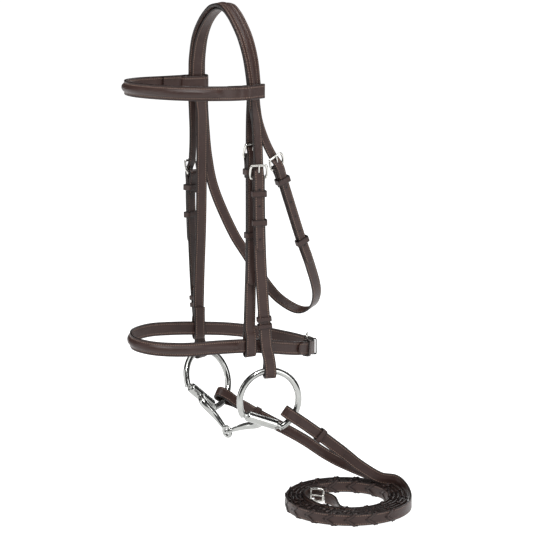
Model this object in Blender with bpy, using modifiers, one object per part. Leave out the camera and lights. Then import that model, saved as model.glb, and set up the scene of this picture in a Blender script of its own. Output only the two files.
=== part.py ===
"""A snaffle bridle, in metres, +Z up: leather headgear, an eggbutt snaffle bit and laced reins.

The bridle hangs as on a horse that faces -Y. +X is the horse's near (left) side.
The origin is the underside of the leather that rests on the poll, behind the ears.
"""

import math

import bmesh
import bpy
from mathutils import Matrix, Vector

MM = 0.001

# Leather
STRAP_THICK = 2.8 * MM
LAYER = 3.3 * MM            # from the middle of one layer to the middle of the next, buckled or sewn
CHEEK_WIDE = 16 * MM
BILLET_WIDE = 13 * MM
HANGER_WIDE = 16 * MM
THROAT_WIDE = 15 * MM
BAND_WIDE = 19 * MM
CROWN_WIDE = 23 * MM
CROWN_THICK = 5.6 * MM
REIN_WIDE = 16 * MM
REIN_FOLD = 92 * MM         # how far a rein's folded end reaches
ROLL_WIDE = 9 * MM
ROLL_THICK = 3.6 * MM
ROLL_OUT = 0.9 * MM + (STRAP_THICK + ROLL_THICK) / 2
STEP = 13 * MM              # length of one straight facet along a strap

# Buckles, keepers and studs
WIRE = 1.6 * MM             # half the thickness of a buckle's frame
BUCKLE_TALL = 17 * MM
TONGUE = 1.1 * MM
KEEPER_TALL = 8 * MM
KEEPER_THICK = 1.5 * MM
FIT = 0.4 * MM              # room between pieces that touch

# Bit
RING_RADIUS = 41 * MM       # to the middle of the rod
RING_ROD = 4 * MM
CHORD = 29 * MM             # from the ring's centre to its straight side, where the barrel sits
BARREL_LONG = 46 * MM
BARREL_RADIUS = 7.2 * MM
EYE_RADIUS = 6.6 * MM
EYE_ROD = 2.6 * MM
BIT_JOINT = Vector((0.0, 0.0060, -0.5760))

LOOP_RADIUS = RING_ROD + 1 * MM + STRAP_THICK / 2
LOOP_SLACK = 2.8 * MM       # how far a strap's bend lies past the middle of the rod that it holds
REIN_SLACK = 8 * MM         # the same for a rein, which hangs looser

# Reins
COIL_CENTRE = Vector((0.141, 0.109, 0))
COIL_RADIUS = 0.089
COIL_WALL = 30 * MM
FLOOR = -0.661
CENTRE_BUCKLE = Vector((0.113, 0.088, FLOOR + 0.0105))
CENTRE_BUCKLE_HEADING = 200

# Lines that the straps follow: x, y, z, then the heading of the strap's outward face in degrees,
# counted from +X towards +Y, then how far its width dips out of the level.
CROWN_LINE = (
    (0.0835, 0.001, -0.115, 200, 0), (0.0830, 0, -0.101, 200, 0), (0.0805, 0, -0.085, 198, 0),
    (0.0725, 0, -0.058, 190, 0), (0.0575, 0, -0.0315, 184, 0), (0.0355, 0, -0.0090, 180, 0),
    (0.0175, 0, 0.0030, 180, 0), (0.0062, 0, 0.0062, 180, 0), (-0.0062, 0, 0.0062, 180, 0),
    (-0.0240, 0, 0.0010, 180, 0), (-0.0480, 0, -0.0160, 180, 0), (-0.0655, 0, -0.0390, 172, 0),
    (-0.0740, 0, -0.0670, 166, 0), (-0.0755, 0, -0.0870, 162, 0), (-0.0758, 0, -0.101, 160, 0),
    (-0.0765, 0.001, -0.115, 160, 0),
)
NEAR_CHEEK_LINE = (
    (0.0848, -0.0049, -0.0970, 20, 0), (0.0845, -0.003, -0.1170, 6, 0), (0.0828, 0.003, -0.1410, -14, 0),
    (0.0832, 0.0045, -0.1650, -20, 0), (0.0840, 0.005, -0.1890, -20, 0), (0.0848, 0.0055, -0.2290, -20, 0),
    (0.0850, 0.006, -0.2690, -20, 0), (0.0820, 0.0095, -0.3240, -20, 0), (0.0770, 0.0160, -0.3790, -20, 0),
    (0.0750, 0.0205, -0.4190, -18, 0), (0.0732, 0.0235, -0.4420, -16, 0), (0.0694, 0.0302, -0.4620, -15, 0),
    (0.0682, 0.0318, -0.4715, -15, 0), (0.0682, 0.0318, -0.4792, -15, 0),
)
FAR_CHEEK_LINE = (
    (-0.0773, -0.0049, -0.0970, 160, 0), (-0.0790, -0.0045, -0.1170, 174, 0),
    (-0.0825, -0.0030, -0.1410, 194, 0), (-0.0838, -0.0020, -0.1650, 200, 0),
    (-0.0850, -0.0018, -0.1890, 200, 0), (-0.0868, -0.0030, -0.2240, 200, 0),
    (-0.0875, -0.0040, -0.2590, 200, 0), (-0.0860, -0.0030, -0.3260, 200, 0),
    (-0.0835, -0.0015, -0.3890, 200, 0), (-0.0796, 0.0002, -0.4350, 200, 0),
    (-0.0772, 0.0010, -0.4560, 200, 0), (-0.0764, 0.0013, -0.4680, 200, 0),
    (-0.0764, 0.0013, -0.4770, 200, 0),
)
NEAR_HANGER_LINE = (
    (0.0640, 0.003, -0.4630, 180, 0), (0.0642, 0.003, -0.4290, 180, 0), (0.0655, 0.0035, -0.3690, 180, 0),
    (0.0665, 0.004, -0.2890, 180, 0), (0.0670, 0.004, -0.1890, 180, 0), (0.0705, 0.002, -0.1390, 188, 0),
)
FAR_HANGER_LINE = (
    (-0.0690, 0.004, -0.1390, 170, 0), (-0.0690, 0.0035, -0.1890, 180, 0), (-0.0685, 0.0015, -0.2890, 180, 0),
    (-0.0665, -0.003, -0.3690, 180, 0), (-0.0642, -0.006, -0.4290, 180, 0),
    (-0.0640, -0.006, -0.4630, 180, 0),
)
# From the near side of the headpiece, down round the throat and up to the far side.
THROAT_LINE = (
    (0.0810, 0.0035, -0.0970, 20, 0), (0.0808, 0.0050, -0.1190, 20, 0), (0.0802, 0.0095, -0.1430, 14, 6),
    (0.0786, 0.0215, -0.1720, 4, 16), (0.0755, 0.0400, -0.2025, 0, 22), (0.0720, 0.0550, -0.2390, 0, 24),
    (0.0660, 0.0800, -0.3010, 0, 27), (0.0580, 0.1000, -0.3410, 0, 27), (0.0400, 0.1220, -0.3830, 0, 27),
    (0.0150, 0.1310, -0.4100, 0, 27), (-0.0100, 0.1255, -0.4200, 0, 27), (-0.0300, 0.1100, -0.4100, 0, 27),
    (-0.0450, 0.0950, -0.3900, 0, 27), (-0.0600, 0.0665, -0.3410, 0, 27), (-0.0660, 0.0480, -0.3080, 0, 24),
    (-0.0720, 0.0245, -0.2510, 0, 16), (-0.0755, 0.0155, -0.2040, 0, 10), (-0.0760, 0.0110, -0.1540, 0, 8),
    (-0.0740, 0.0075, -0.1175, -16, 0),
)
# A closed loop from the chin buckle round the near side, the nose and the far side.
NOSEBAND_LINE = (
    (0.0100, 0.1275, -0.4650), (0.0350, 0.1160, -0.4630), (0.0530, 0.0820, -0.4570),
    (0.0605, 0.0370, -0.4480), (0.0640, 0.0030, -0.4420), (0.0615, -0.0430, -0.4390),
    (0.0520, -0.0870, -0.4390), (0.0330, -0.1230, -0.4370), (0.0000, -0.1370, -0.4350),
    (-0.0330, -0.1230, -0.4330), (-0.0520, -0.0890, -0.4330), (-0.0610, -0.0480, -0.4370),
    (-0.0640, -0.0060, -0.4420), (-0.0615, 0.0400, -0.4480), (-0.0530, 0.0830, -0.4560),
    (-0.0350, 0.1150, -0.4630), (-0.0100, 0.1275, -0.4650),
)
NOSEBAND_SIDES = (NOSEBAND_LINE[4], NOSEBAND_LINE[12])      # where the near and far hangers hold it
NOSEBAND_SIDE_Z = -0.442
HANGER_BUCKLE_DOWN = 0.187   # below the poll
HANGER_TIP_DOWN = 0.358
BROWBAND_Z = -0.1010        # at its loops
BROWBAND_LINE = (
    (0.0905, -0.0230, -0.1010), (0.0915, -0.0420, -0.1005), (0.0850, -0.0760, -0.0995),
    (0.0610, -0.1080, -0.0990), (0.0180, -0.1290, -0.0990), (-0.0180, -0.1320, -0.0990),
    (-0.0500, -0.1190, -0.0992), (-0.0730, -0.0880, -0.1000), (-0.0830, -0.0490, -0.1010),
    (-0.0840, -0.0240, -0.1010),
)
# Each rein's line after the folded end that holds it to its ring.
NEAR_REIN_LINE = (
    (0.0866, 0.1058, -0.5780, -22, 60),
    (0.0999, 0.1328, -0.6020, -26, 72),
    (0.1089, 0.1495, -0.6178, -30, 80),
    (0.1216, 0.1745, -0.6355, -30, 88),
)
FAR_REIN_LINE = (
    (-0.0385, 0.0725, -0.5700, -8, 58),
    (0.0114, 0.1145, -0.5980, -22, 68),
    (0.0402, 0.1384, -0.6180, -28, 78),
    (0.0604, 0.1624, -0.6330, -30, 88),
)
# Degrees below the level, behind the ring's centre, where each rein holds it.
NEAR_REIN_BELOW = 36
FAR_REIN_BELOW = 50

LEATHER = ("havana_leather", (0.055, 0.034, 0.029), 0.42, 0.0)
NICKEL = ("nickel_plate", (0.62, 0.61, 0.58), 0.22, 1.0)
STEEL = ("polished_steel", (0.68, 0.68, 0.69), 0.14, 1.0)


def clear_scene():
    for obj in list(bpy.data.objects):
        bpy.data.objects.remove(obj, do_unlink=True)


def new_collection(name, shown):
    collection = bpy.data.collections.new(name)
    bpy.context.scene.collection.children.link(collection)
    collection.hide_render = not shown
    return collection


def finish(obj, name, finish_of):
    """Names a piece, gives it a material of its own and files it in the bridle's collection."""
    label, colour, rough, metal = finish_of
    material = bpy.data.materials.new(f"{name}_{label}")
    material.use_nodes = True
    shader = material.node_tree.nodes["Principled BSDF"]
    shader.inputs["Base Color"].default_value = (*colour, 1)
    shader.inputs["Roughness"].default_value = rough
    shader.inputs["Metallic"].default_value = metal
    obj.name = obj.data.name = name
    obj.data.materials.clear()
    obj.data.materials.append(material)
    file_in(obj, BRIDLE)
    return obj


def file_in(obj, collection):
    for held in list(obj.users_collection):
        held.objects.unlink(obj)
    collection.objects.link(obj)


def keep_as_cutter(obj, name):
    obj.name = name
    obj.hide_render = True
    obj.display_type = "WIRE"
    file_in(obj, CUTTERS)
    return obj


def boolean(obj, other, operation):
    modifier = obj.modifiers.new(other.name, "BOOLEAN")
    modifier.operation = operation
    modifier.solver = "EXACT"
    modifier.object = other


def spline_point(a, b, c, d, u):
    """A point of the Catmull-Rom curve between b and c."""
    return 0.5 * (2 * b + (c - a) * u + (2 * a - 5 * b + 4 * c - d) * u**2 + (3 * b - a - 3 * c + d) * u**3)


def width_direction(heading, dip):
    """The way a strap's width points, where its outward face has this heading."""
    h, d = math.radians(heading), math.radians(dip)
    return Vector((-math.sin(h) * math.cos(d), math.cos(h) * math.cos(d), math.sin(d)))


class Route:
    """A smooth line that straps follow, with the direction of their width at each place on it."""

    def __init__(self, points, widths, closed=False):
        self.closed = closed
        self.places = []
        count = len(points)
        spans = count if closed else count - 1
        for i in range(spans):
            near = [self.pick(i + k, count) for k in (-1, 0, 1, 2)]
            for j in range(12):
                u = j / 12
                at = spline_point(*(points[k] for k in near), u)
                self.places.append((at, widths[near[1]].lerp(widths[near[2]], u)))
        last = 0 if closed else count - 1
        self.places.append((points[last].copy(), widths[last].copy()))
        self.lengths = [0.0]
        for (a, _), (b, _) in zip(self.places, self.places[1:]):
            self.lengths.append(self.lengths[-1] + (b - a).length)
        self.long = self.lengths[-1]

    def pick(self, i, count):
        return i % count if self.closed else min(max(i, 0), count - 1)

    def sample(self, s):
        if self.closed:
            s %= self.long
        elif s < 0:
            ahead = (self.places[1][0] - self.places[0][0]).normalized()
            return self.places[0][0] + ahead * s, self.places[0][1]
        elif s > self.long:
            ahead = (self.places[-1][0] - self.places[-2][0]).normalized()
            return self.places[-1][0] + ahead * (s - self.long), self.places[-1][1]
        i = 0
        while i < len(self.lengths) - 2 and self.lengths[i + 1] < s:
            i += 1
        u = (s - self.lengths[i]) / (self.lengths[i + 1] - self.lengths[i])
        (a, wa), (b, wb) = self.places[i], self.places[i + 1]
        return a + (b - a) * u, wa.lerp(wb, u)

    def frame(self, s):
        """Place, tangent, width direction and outward face at distance s along the route."""
        place, wide = self.sample(s)
        tangent = (self.sample(s + MM)[0] - self.sample(s - MM)[0]).normalized()
        wide = (wide - tangent * wide.dot(tangent)).normalized()
        return place, tangent, wide, tangent.cross(wide)

    def place(self, s, out=0.0):
        """A row of a strap: where its middle is, and the direction of its width."""
        place, _, wide, face = self.frame(s)
        return place + face * out, wide

    def matrix(self, s, out=0.0):
        """Axes for fittings: X across the strap, Y back along it, Z out of its face."""
        place, tangent, wide, face = self.frame(s)
        axes = Matrix((wide, -tangent, face)).transposed().to_4x4()
        return Matrix.Translation(place + face * out) @ axes

    def at_height(self, z):
        """Distance along the route to where it first passes the height z."""
        for i, ((a, _), (b, _)) in enumerate(zip(self.places, self.places[1:])):
            if min(a.z, b.z) <= z <= max(a.z, b.z):
                return self.lengths[i] + (z - a.z) / (b.z - a.z) * (self.lengths[i + 1] - self.lengths[i])
        raise ValueError(f"no place at height {z}")


def route_of(line):
    points = [Vector(row[:3]) for row in line]
    return Route(points, [width_direction(row[3], row[4]) for row in line])


def run(route, start, end, out=0.0, step=STEP):
    """Rows along a route from start to end, at one height above it."""
    count = max(1, round(abs(end - start) / step))
    return [route.place(start + (end - start) * i / count, out) for i in range(count + 1)]


def path(route, *stations):
    """Rows at stations (distance, out), for the short bends of folds and buckles."""
    return [route.place(s, out) for s, out in stations]


def strap(name, rows, wide, thick=STRAP_THICK, tip_end=False):
    """A strip of leather along rows of (place, width direction), tapered where it has a tip."""
    last = len(rows) - 1
    bpy.ops.mesh.primitive_grid_add(x_subdivisions=last, y_subdivisions=1, size=1)
    obj = bpy.context.object
    for vertex in obj.data.vertices:
        i = round((vertex.co.x + 0.5) * last)
        place, side = rows[i]
        along = (rows[min(i + 1, last)][0] - rows[max(i - 1, 0)][0]).normalized()
        side = (side - along * side.dot(along)).normalized()
        tipped = tip_end and i == last
        vertex.co = place + side * vertex.co.y * wide * (0.35 if tipped else 1)
    solid = obj.modifiers.new("leather", "SOLIDIFY")
    solid.thickness = thick
    solid.offset = 0
    solid.use_even_offset = True
    return finish(obj, name, LEATHER)


def arc(route, s, out, radius, start, end, count):
    """Rows round a bar at (s, out): angles count from the strap's own direction, out of its face."""
    rows = []
    for i in range(count + 1):
        angle = math.radians(start + (end - start) * i / count)
        rows.append(route.place(s + radius * math.cos(angle), out + radius * math.sin(angle)))
    return rows


def buckle_fold(route, s):
    """Rows of a strap's end from its stitched-down inner end, round the heel bar at s, to its outside."""
    radius = WIRE + 0.3 * MM + STRAP_THICK / 2
    bar = -LAYER / 2
    inner = run(route, s + 28 * MM, s + 13 * MM, -LAYER)
    inner += path(route, (s + 8 * MM, -LAYER - 0.5 * MM), (s + 4 * MM, -LAYER - 1.3 * MM))
    outer = path(route, (s + 4 * MM, 1.3 * MM), (s + 8 * MM, 0.5 * MM), (s + 13 * MM, 0))
    return inner + arc(route, s, bar, radius, 270, 90, 6) + outer


def billet_pass(route, s):
    """Rows of a billet behind a buckle's top bar and over its heel bar at s, to the layer outside."""
    stations = ((26, 0), (17, 0.1), (12, 1.6), (6, 3.9), (0, 5.2), (-5, 4.7), (-10, 3.8))
    return path(route, *((s - a * MM, out * MM) for a, out in stations))


def slot(name, matrix, across, low, high):
    """A box-shaped cutter in a fitting's axes, from low to high along the strap and through it."""
    bpy.ops.mesh.primitive_cube_add(size=1)
    cutter = bpy.context.object
    size = Matrix.Diagonal((across, high - low, 30 * MM, 1))
    cutter.data.transform(matrix @ Matrix.Translation((0, (low + high) / 2, 0)) @ size)
    return keep_as_cutter(cutter, name)


def wire(name, points, radius, closed=False, radii=None, resolution=1):
    """A bent wire or rod as a curve with filled caps."""
    curve = bpy.data.curves.new(name, "CURVE")
    curve.dimensions = "3D"
    curve.bevel_depth = radius
    curve.bevel_resolution = resolution
    curve.use_fill_caps = not closed
    spline = curve.splines.new("POLY")
    spline.points.add(len(points) - 1)
    for i, point in enumerate(points):
        spline.points[i].co = (*point, 1)
        spline.points[i].radius = radii[i] if radii else 1
    spline.use_cyclic_u = closed
    obj = bpy.data.objects.new(name, curve)
    BRIDLE.objects.link(obj)
    return obj


def buckle(name, matrix, inside):
    """A nickel frame bent to sit flat: heel bar at the matrix's origin, top bar over the billet."""
    half = inside / 2 + 0.7 * MM + WIRE
    heel, top, high = -LAYER / 2, 3.6 * MM, BUCKLE_TALL
    corner = 2.5 * MM
    right = [
        (half - corner, 0, heel), (half - 0.5 * MM, 0.6 * MM, heel), (half, corner, heel + 0.1 * MM),
        (half + 0.7 * MM, high * 0.35, 0.6 * MM), (half + 0.7 * MM, high * 0.65, 2.4 * MM),
        (half, high - corner, top), (half - 0.5 * MM, high - 0.6 * MM, top), (half - corner, high, top),
    ]
    left = [(-x, y, z) for x, y, z in reversed(right)]
    points = [matrix @ Vector(p) for p in right + left]
    return finish(wire(name, points, WIRE, closed=True), name, NICKEL)


def tongue(name, matrix):
    """A wire tongue curled round the heel bar, its tip resting on the top bar."""
    heel = -LAYER / 2
    curl = WIRE + 0.3 * MM + TONGUE
    points = [(0, -curl * math.cos(math.radians(a)), heel + curl * math.sin(math.radians(a)))
              for a in (-100, -58, -16, 26, 68, 90)]
    points += [(0, 4.5 * MM, 2.0 * MM), (0, 11 * MM, 4.9 * MM)]
    points += [(0, 16 * MM, 6.5 * MM), (0, 19 * MM, 6.6 * MM)]
    radii = [1] * 7 + [0.95, 0.9, 0.75]
    return finish(wire(name, [matrix @ Vector(p) for p in points], TONGUE, radii=radii), name, NICKEL)


def rounded_rectangle(half_x, half_y, radius):
    points = []
    for i in range(4):
        cx = (half_x - radius) * (1 if i in (0, 3) else -1)
        cy = (half_y - radius) * (1 if i in (0, 1) else -1)
        for j in range(3):
            angle = math.radians(90 * i + 45 * j)
            points.append((cx + radius * math.cos(angle), cy + radius * math.sin(angle), 0))
    return points


def keeper(name, route, s, inside, low, high, tall=KEEPER_TALL, room=FIT):
    """A leather band round a strap's layers, whose middles lie from low to high out of the route."""
    half_x = inside / 2 + FIT
    half_y = (high - low + STRAP_THICK) / 2 + room
    curve = bpy.data.curves.new(name, "CURVE")
    curve.dimensions = "2D"
    curve.fill_mode = "BOTH"
    curve.extrude = tall / 2
    for grow in (KEEPER_THICK, 0):
        outline = rounded_rectangle(half_x + grow, half_y + grow, 0.8 * MM + grow)
        spline = curve.splines.new("POLY")
        spline.points.add(len(outline) - 1)
        for point, co in zip(spline.points, outline):
            point.co = (*co, 1)
        spline.use_cyclic_u = True
    obj = bpy.data.objects.new(name, curve)
    BRIDLE.objects.link(obj)
    turn = Matrix(((1, 0, 0), (0, 0, 1), (0, 1, 0))).to_4x4()
    obj.matrix_world = route.matrix(s, (low + high) / 2) @ turn
    return finish(obj, name, LEATHER)


def buckled(name, route, s, lower, billet, inside):
    """A buckle and its tongue at s, with the slot and the billet's hole that the tongue needs."""
    matrix = route.matrix(s)
    boolean(lower, slot(f"{name}_slot", matrix, 3.2 * MM, -9 * MM, 8 * MM), "DIFFERENCE")
    boolean(billet, slot(f"{name}_hole", matrix, 3.6 * MM, 1 * MM, 13 * MM), "DIFFERENCE")
    buckle(f"{name}_buckle", matrix, inside)
    tongue(f"{name}_tongue", matrix)


def as_mesh(obj):
    """The evaluated curve as a mesh object with welded caps."""
    graph = bpy.context.evaluated_depsgraph_get()
    mesh = bpy.data.meshes.new_from_object(obj.evaluated_get(graph))
    bm = bmesh.new()
    bm.from_mesh(mesh)
    bmesh.ops.remove_doubles(bm, verts=bm.verts, dist=1e-6)
    bm.to_mesh(mesh)
    bm.free()
    made = bpy.data.objects.new(obj.name, mesh)
    made.matrix_world = obj.matrix_world
    bpy.data.objects.remove(obj, do_unlink=True)
    BRIDLE.objects.link(made)
    return made


def cylinder(name, start, end, radius, sides=16):
    bpy.ops.mesh.primitive_cylinder_add(vertices=sides, radius=radius, depth=(end - start).length)
    obj = bpy.context.object
    turn = (end - start).to_track_quat("Z", "Y").to_matrix().to_4x4()
    obj.data.transform(Matrix.Translation((start + end) / 2) @ turn)
    return keep_as_cutter(obj, name)


def torus(name, centre, axis, radius, rod):
    bpy.ops.mesh.primitive_torus_add(
        major_segments=20, minor_segments=8, major_radius=radius, minor_radius=rod)
    obj = bpy.context.object
    obj.data.transform(Matrix.Translation(centre) @ axis.to_track_quat("Z", "Y").to_matrix().to_4x4())
    return keep_as_cutter(obj, name)


# ---------------------------------------------------------------- headgear

def billet_rows(route, s_buckle, s_tip):
    """Rows of a billet from the top of its route, through its buckle, to its tip."""
    rows = run(route, 0.0, s_buckle - 34 * MM) + billet_pass(route, s_buckle)
    return rows + run(route, s_buckle + 18 * MM, s_tip, LAYER)


def make_headpiece(crown, billets):
    """Crown, cheek billets and near throatlatch billet, cut from one wide strap."""
    head = strap("headpiece", run(crown, 0, crown.long), CROWN_WIDE, CROWN_THICK)
    for name, route, s_buckle, s_tip, wide in billets:
        billet = strap(name, billet_rows(route, s_buckle, s_tip), wide, tip_end=True)
        boolean(head, keep_as_cutter(billet, name), "UNION")
    return head


def ring_fold(route, s_rod, middle, start, end):
    """Rows round a ring's rod from one layer of a strap to the other, with some slack past the rod."""
    bend = arc(route, s_rod + LOOP_SLACK, middle, LOOP_RADIUS, start, end, 8)
    back = 1 if start > end else -1
    out, inn = middle + back * LAYER / 2, middle - back * LAYER / 2
    into = path(route, (s_rod - 11 * MM, out + back * 1.2 * MM), (s_rod - 4 * MM, out + back * 3.8 * MM))
    away = path(route, (s_rod - 4 * MM, inn - back * 3.8 * MM), (s_rod - 11 * MM, inn - back * 1.2 * MM))
    return into + bend + away


def make_cheekpiece(side, route, s_buckle, s_rod):
    """Folded round its buckle's heel bar above, and round the bit ring and up its own inside below."""
    bar = -LAYER / 2
    rows = buckle_fold(route, s_buckle)
    rows += run(route, s_buckle + 26 * MM, s_rod - 18 * MM)
    rows += ring_fold(route, s_rod, bar, 90, -90)
    rows += run(route, s_rod - 18 * MM, s_rod - 92 * MM, -LAYER)
    return strap(f"{side}_cheekpiece", rows, CHEEK_WIDE, tip_end=True)


def make_stud(name, route, s, strap_obj, low):
    """A hook stud's pin and head, through a hole in the inner layer at low."""
    matrix = route.matrix(s, low)
    up = matrix.to_3x3() @ Vector((0, 0, 1))
    middle = matrix.translation
    hole = cylinder(f"{name}_hole", middle - up * 1.9 * MM, middle + up * 1.9 * MM, 2.2 * MM, 12)
    boolean(strap_obj, hole, "DIFFERENCE")
    pin = cylinder(f"{name}_pin", middle - up * 2.6 * MM, middle + up * 1.55 * MM, 1.5 * MM, 10)
    head = cylinder(f"{name}_head", middle - up * 3.4 * MM, middle - up * 1.9 * MM, 3.2 * MM, 12)
    stud = bpy.data.objects.new(name, head.data.copy())
    boolean(stud, pin, "UNION")
    BRIDLE.objects.link(stud)
    bpy.data.objects.remove(head, do_unlink=True)
    return finish(stud, name, NICKEL)


def make_browband(crown):
    """One band: round the front of the head, and back on itself round each side of the crown."""
    up = Vector((0, 0, -1))
    front = [Vector(row) for row in BROWBAND_LINE]
    near = loop_round(crown, crown.at_height(BROWBAND_Z))
    far_s = crown.long - reversed_height(crown, BROWBAND_Z)
    far = loop_round(crown, far_s)
    inner_near = [front[0] + Vector((-3.4, 0.2, 0)) * MM, front[1] + Vector((-3.4, -0.2, 0)) * MM]
    inner_far = [front[-2] + Vector((3.4, -0.2, 0)) * MM, front[-1] + Vector((3.4, 0.2, 0)) * MM]
    points = [inner_near[1], inner_near[0]] + near + front
    points += list(reversed(far)) + [inner_far[1], inner_far[0]]
    route = Route(points, [up] * len(points))
    band = strap("browband", run(route, 0, route.long, step=5 * MM), BAND_WIDE)
    face = Route(front, [up] * len(front))
    strap("browband_roll", run(face, 30 * MM, face.long - 30 * MM, ROLL_OUT), ROLL_WIDE, ROLL_THICK)
    return band


def reversed_height(route, z):
    """Distance back from the route's end to where it passes the height z."""
    turned = Route([p for p, _ in reversed(route.places[::12])], [w for _, w in reversed(route.places[::12])])
    return turned.at_height(z)


def loop_round(crown, s):
    """Points round the crown and the strap under it, from inside the front edge to outside it."""
    place, _, wide, face = crown.frame(s)
    rear = -wide
    outer, inner = 6.4 * MM, -10.4 * MM
    stations = ((-19, inner + 1.6 * MM), (-10, inner), (10, inner), (13.4, inner + 3 * MM),
                (14.4, -2 * MM), (13.4, outer - 2.2 * MM), (11, outer), (-10, outer), (-17, outer - 0.4 * MM))
    level = Vector((0, 0, BROWBAND_Z - place.z))
    return [place + level + rear * w * MM + face * n for w, n in stations]


def make_noseband(route):
    """One band round the nose and chin: folded round the chin buckle, and on as its billet."""
    rows = buckle_fold(route, 0.0)
    rows += run(route, 26 * MM, route.long - 34 * MM)
    rows += billet_pass(route, route.long)
    rows += run(route, route.long + 18 * MM, route.long + 66 * MM, LAYER)
    near_hanger, far_hanger = (route.lengths[12 * NOSEBAND_LINE.index(row)] for row in NOSEBAND_SIDES)
    roll = run(route, near_hanger + 17 * MM, far_hanger - 17 * MM, ROLL_OUT)
    strap("noseband_roll", roll, ROLL_WIDE, ROLL_THICK)
    return strap("noseband", rows, BAND_WIDE, tip_end=True)


def hanger_loop(route, s_band, direction):
    """Rows of a hanger's lower end: down outside the noseband, under it and up its inside."""
    out = 3.9 * MM
    stations = ((-26, 0), (-20, 1.3 * MM), (-14, out), (0, out), (9, out), (12.5, out - 1.2 * MM),
                (13.8, 0), (12.5, 1.2 * MM - out), (9, -out), (0, -out), (-14, -out),
                (-22, -LAYER - 0.1 * MM), (-30, -LAYER))
    return path(route, *((s_band + direction * a * MM, n) for a, n in stations))


def bit_ring(name, route, s_rod, forward, lean):
    """A ring with one straight side for the barrel, whose foot leans in towards the mouth."""
    place, down, wide, face = route.frame(s_rod)
    top = place - face * LAYER / 2
    tangent = (down * math.cos(math.radians(lean)) - face * math.sin(math.radians(lean))).normalized()
    centre = top + tangent * RING_RADIUS
    level = wide if wide.y < 0 else -wide
    chord_angle = math.radians(forward)
    middle = tangent * math.cos(chord_angle) + level * math.sin(chord_angle)
    along = level * math.cos(chord_angle) - tangent * math.sin(chord_angle)
    half = math.acos(CHORD / RING_RADIUS)
    points = []
    count = 34
    for i in range(count + 1):
        angle = half + 0.12 + (2 * math.pi - 2 * half - 0.24) * i / count
        points.append(centre + (middle * math.cos(angle) + along * math.sin(angle)) * RING_RADIUS)
    straight = RING_RADIUS * math.sin(half)
    for offset in (-straight + 1 * MM, -straight + 4 * MM, straight - 4 * MM, straight - 1 * MM):
        extra = 1 * MM if abs(offset) > straight - 2 * MM else 0
        points.append(centre + middle * (CHORD + extra) + along * offset)
    finish(wire(name, points, RING_ROD, closed=True, resolution=2), name, STEEL)
    return top, centre, centre + middle * CHORD, along


def bit_arm(name, barrel, along, eye, eye_axis):
    """Barrel, tapered arm and eye, forged as one."""
    toward = eye - barrel
    square = (toward - along * toward.dot(along)).normalized()
    back = -toward.normalized()
    neck = eye + back * EYE_RADIUS
    line = [barrel, barrel + square * 18 * MM, barrel.lerp(neck, 0.62) + square * 1.5 * MM, neck]
    flat = Route(line, [along] * len(line))
    radii = [6.2, 6.1, 5.9, 5.6, 5.2, 4.8, 4.3, 3.8, 3.0]
    points = [flat.sample(flat.long * i / (len(radii) - 1))[0] for i in range(len(radii))]
    arm = as_mesh(wire(name, points, MM, radii=radii, resolution=2))
    half = along * BARREL_LONG / 2
    boolean(arm, cylinder(f"{name}_barrel", barrel - half, barrel + half, BARREL_RADIUS), "UNION")
    boolean(arm, torus(f"{name}_eye", eye, eye_axis, EYE_RADIUS, EYE_ROD), "UNION")
    bore = cylinder(f"{name}_bore", barrel - half * 1.3, barrel + half * 1.3, RING_ROD + 0.45 * MM)
    boolean(arm, bore, "DIFFERENCE")
    return finish(arm, name, STEEL)


def make_mouthpiece(near_barrel, near_chord, far_barrel, far_chord):
    """Two arms whose eyes link like a chain, each eye's rod through the middle of the other."""
    near_way = (near_barrel - BIT_JOINT).normalized()
    far_way = (far_barrel - BIT_JOINT).normalized()
    far_axis = far_way.cross(near_way).normalized()
    apart = near_way * EYE_RADIUS / 2
    bit_arm("near_bit_arm", near_barrel, near_chord, BIT_JOINT + apart, near_way.cross(far_axis))
    bit_arm("far_bit_arm", far_barrel, far_chord, BIT_JOINT - apart, far_axis)


def make_cheek(side, route, heights, headpiece):
    """A cheekpiece with its buckle, keepers, hook stud and the ring that it carries."""
    s_buckle = route.at_height(heights["buckle"])
    s_rod = route.long
    cheek = make_cheekpiece(side, route, s_buckle, s_rod)
    buckled(f"{side}_cheek", route, s_buckle, cheek, headpiece, CHEEK_WIDE)
    keeper(f"{side}_cheek_fixed_keeper", route, s_buckle + 20 * MM, CHEEK_WIDE, -LAYER, LAYER)
    keeper(f"{side}_cheek_runner_keeper", route, route.at_height(heights["runner"]), CHEEK_WIDE, 0, LAYER)
    make_stud(f"{side}_cheek_hook_stud", route, s_rod - 84 * MM, cheek, -LAYER)
    for where, back in (("upper", 76), ("lower", 66)):
        name = f"{side}_cheek_{where}_inner_keeper"
        keeper(name, route, s_rod - back * MM, CHEEK_WIDE, -LAYER, 0, tall=6 * MM)


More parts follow.
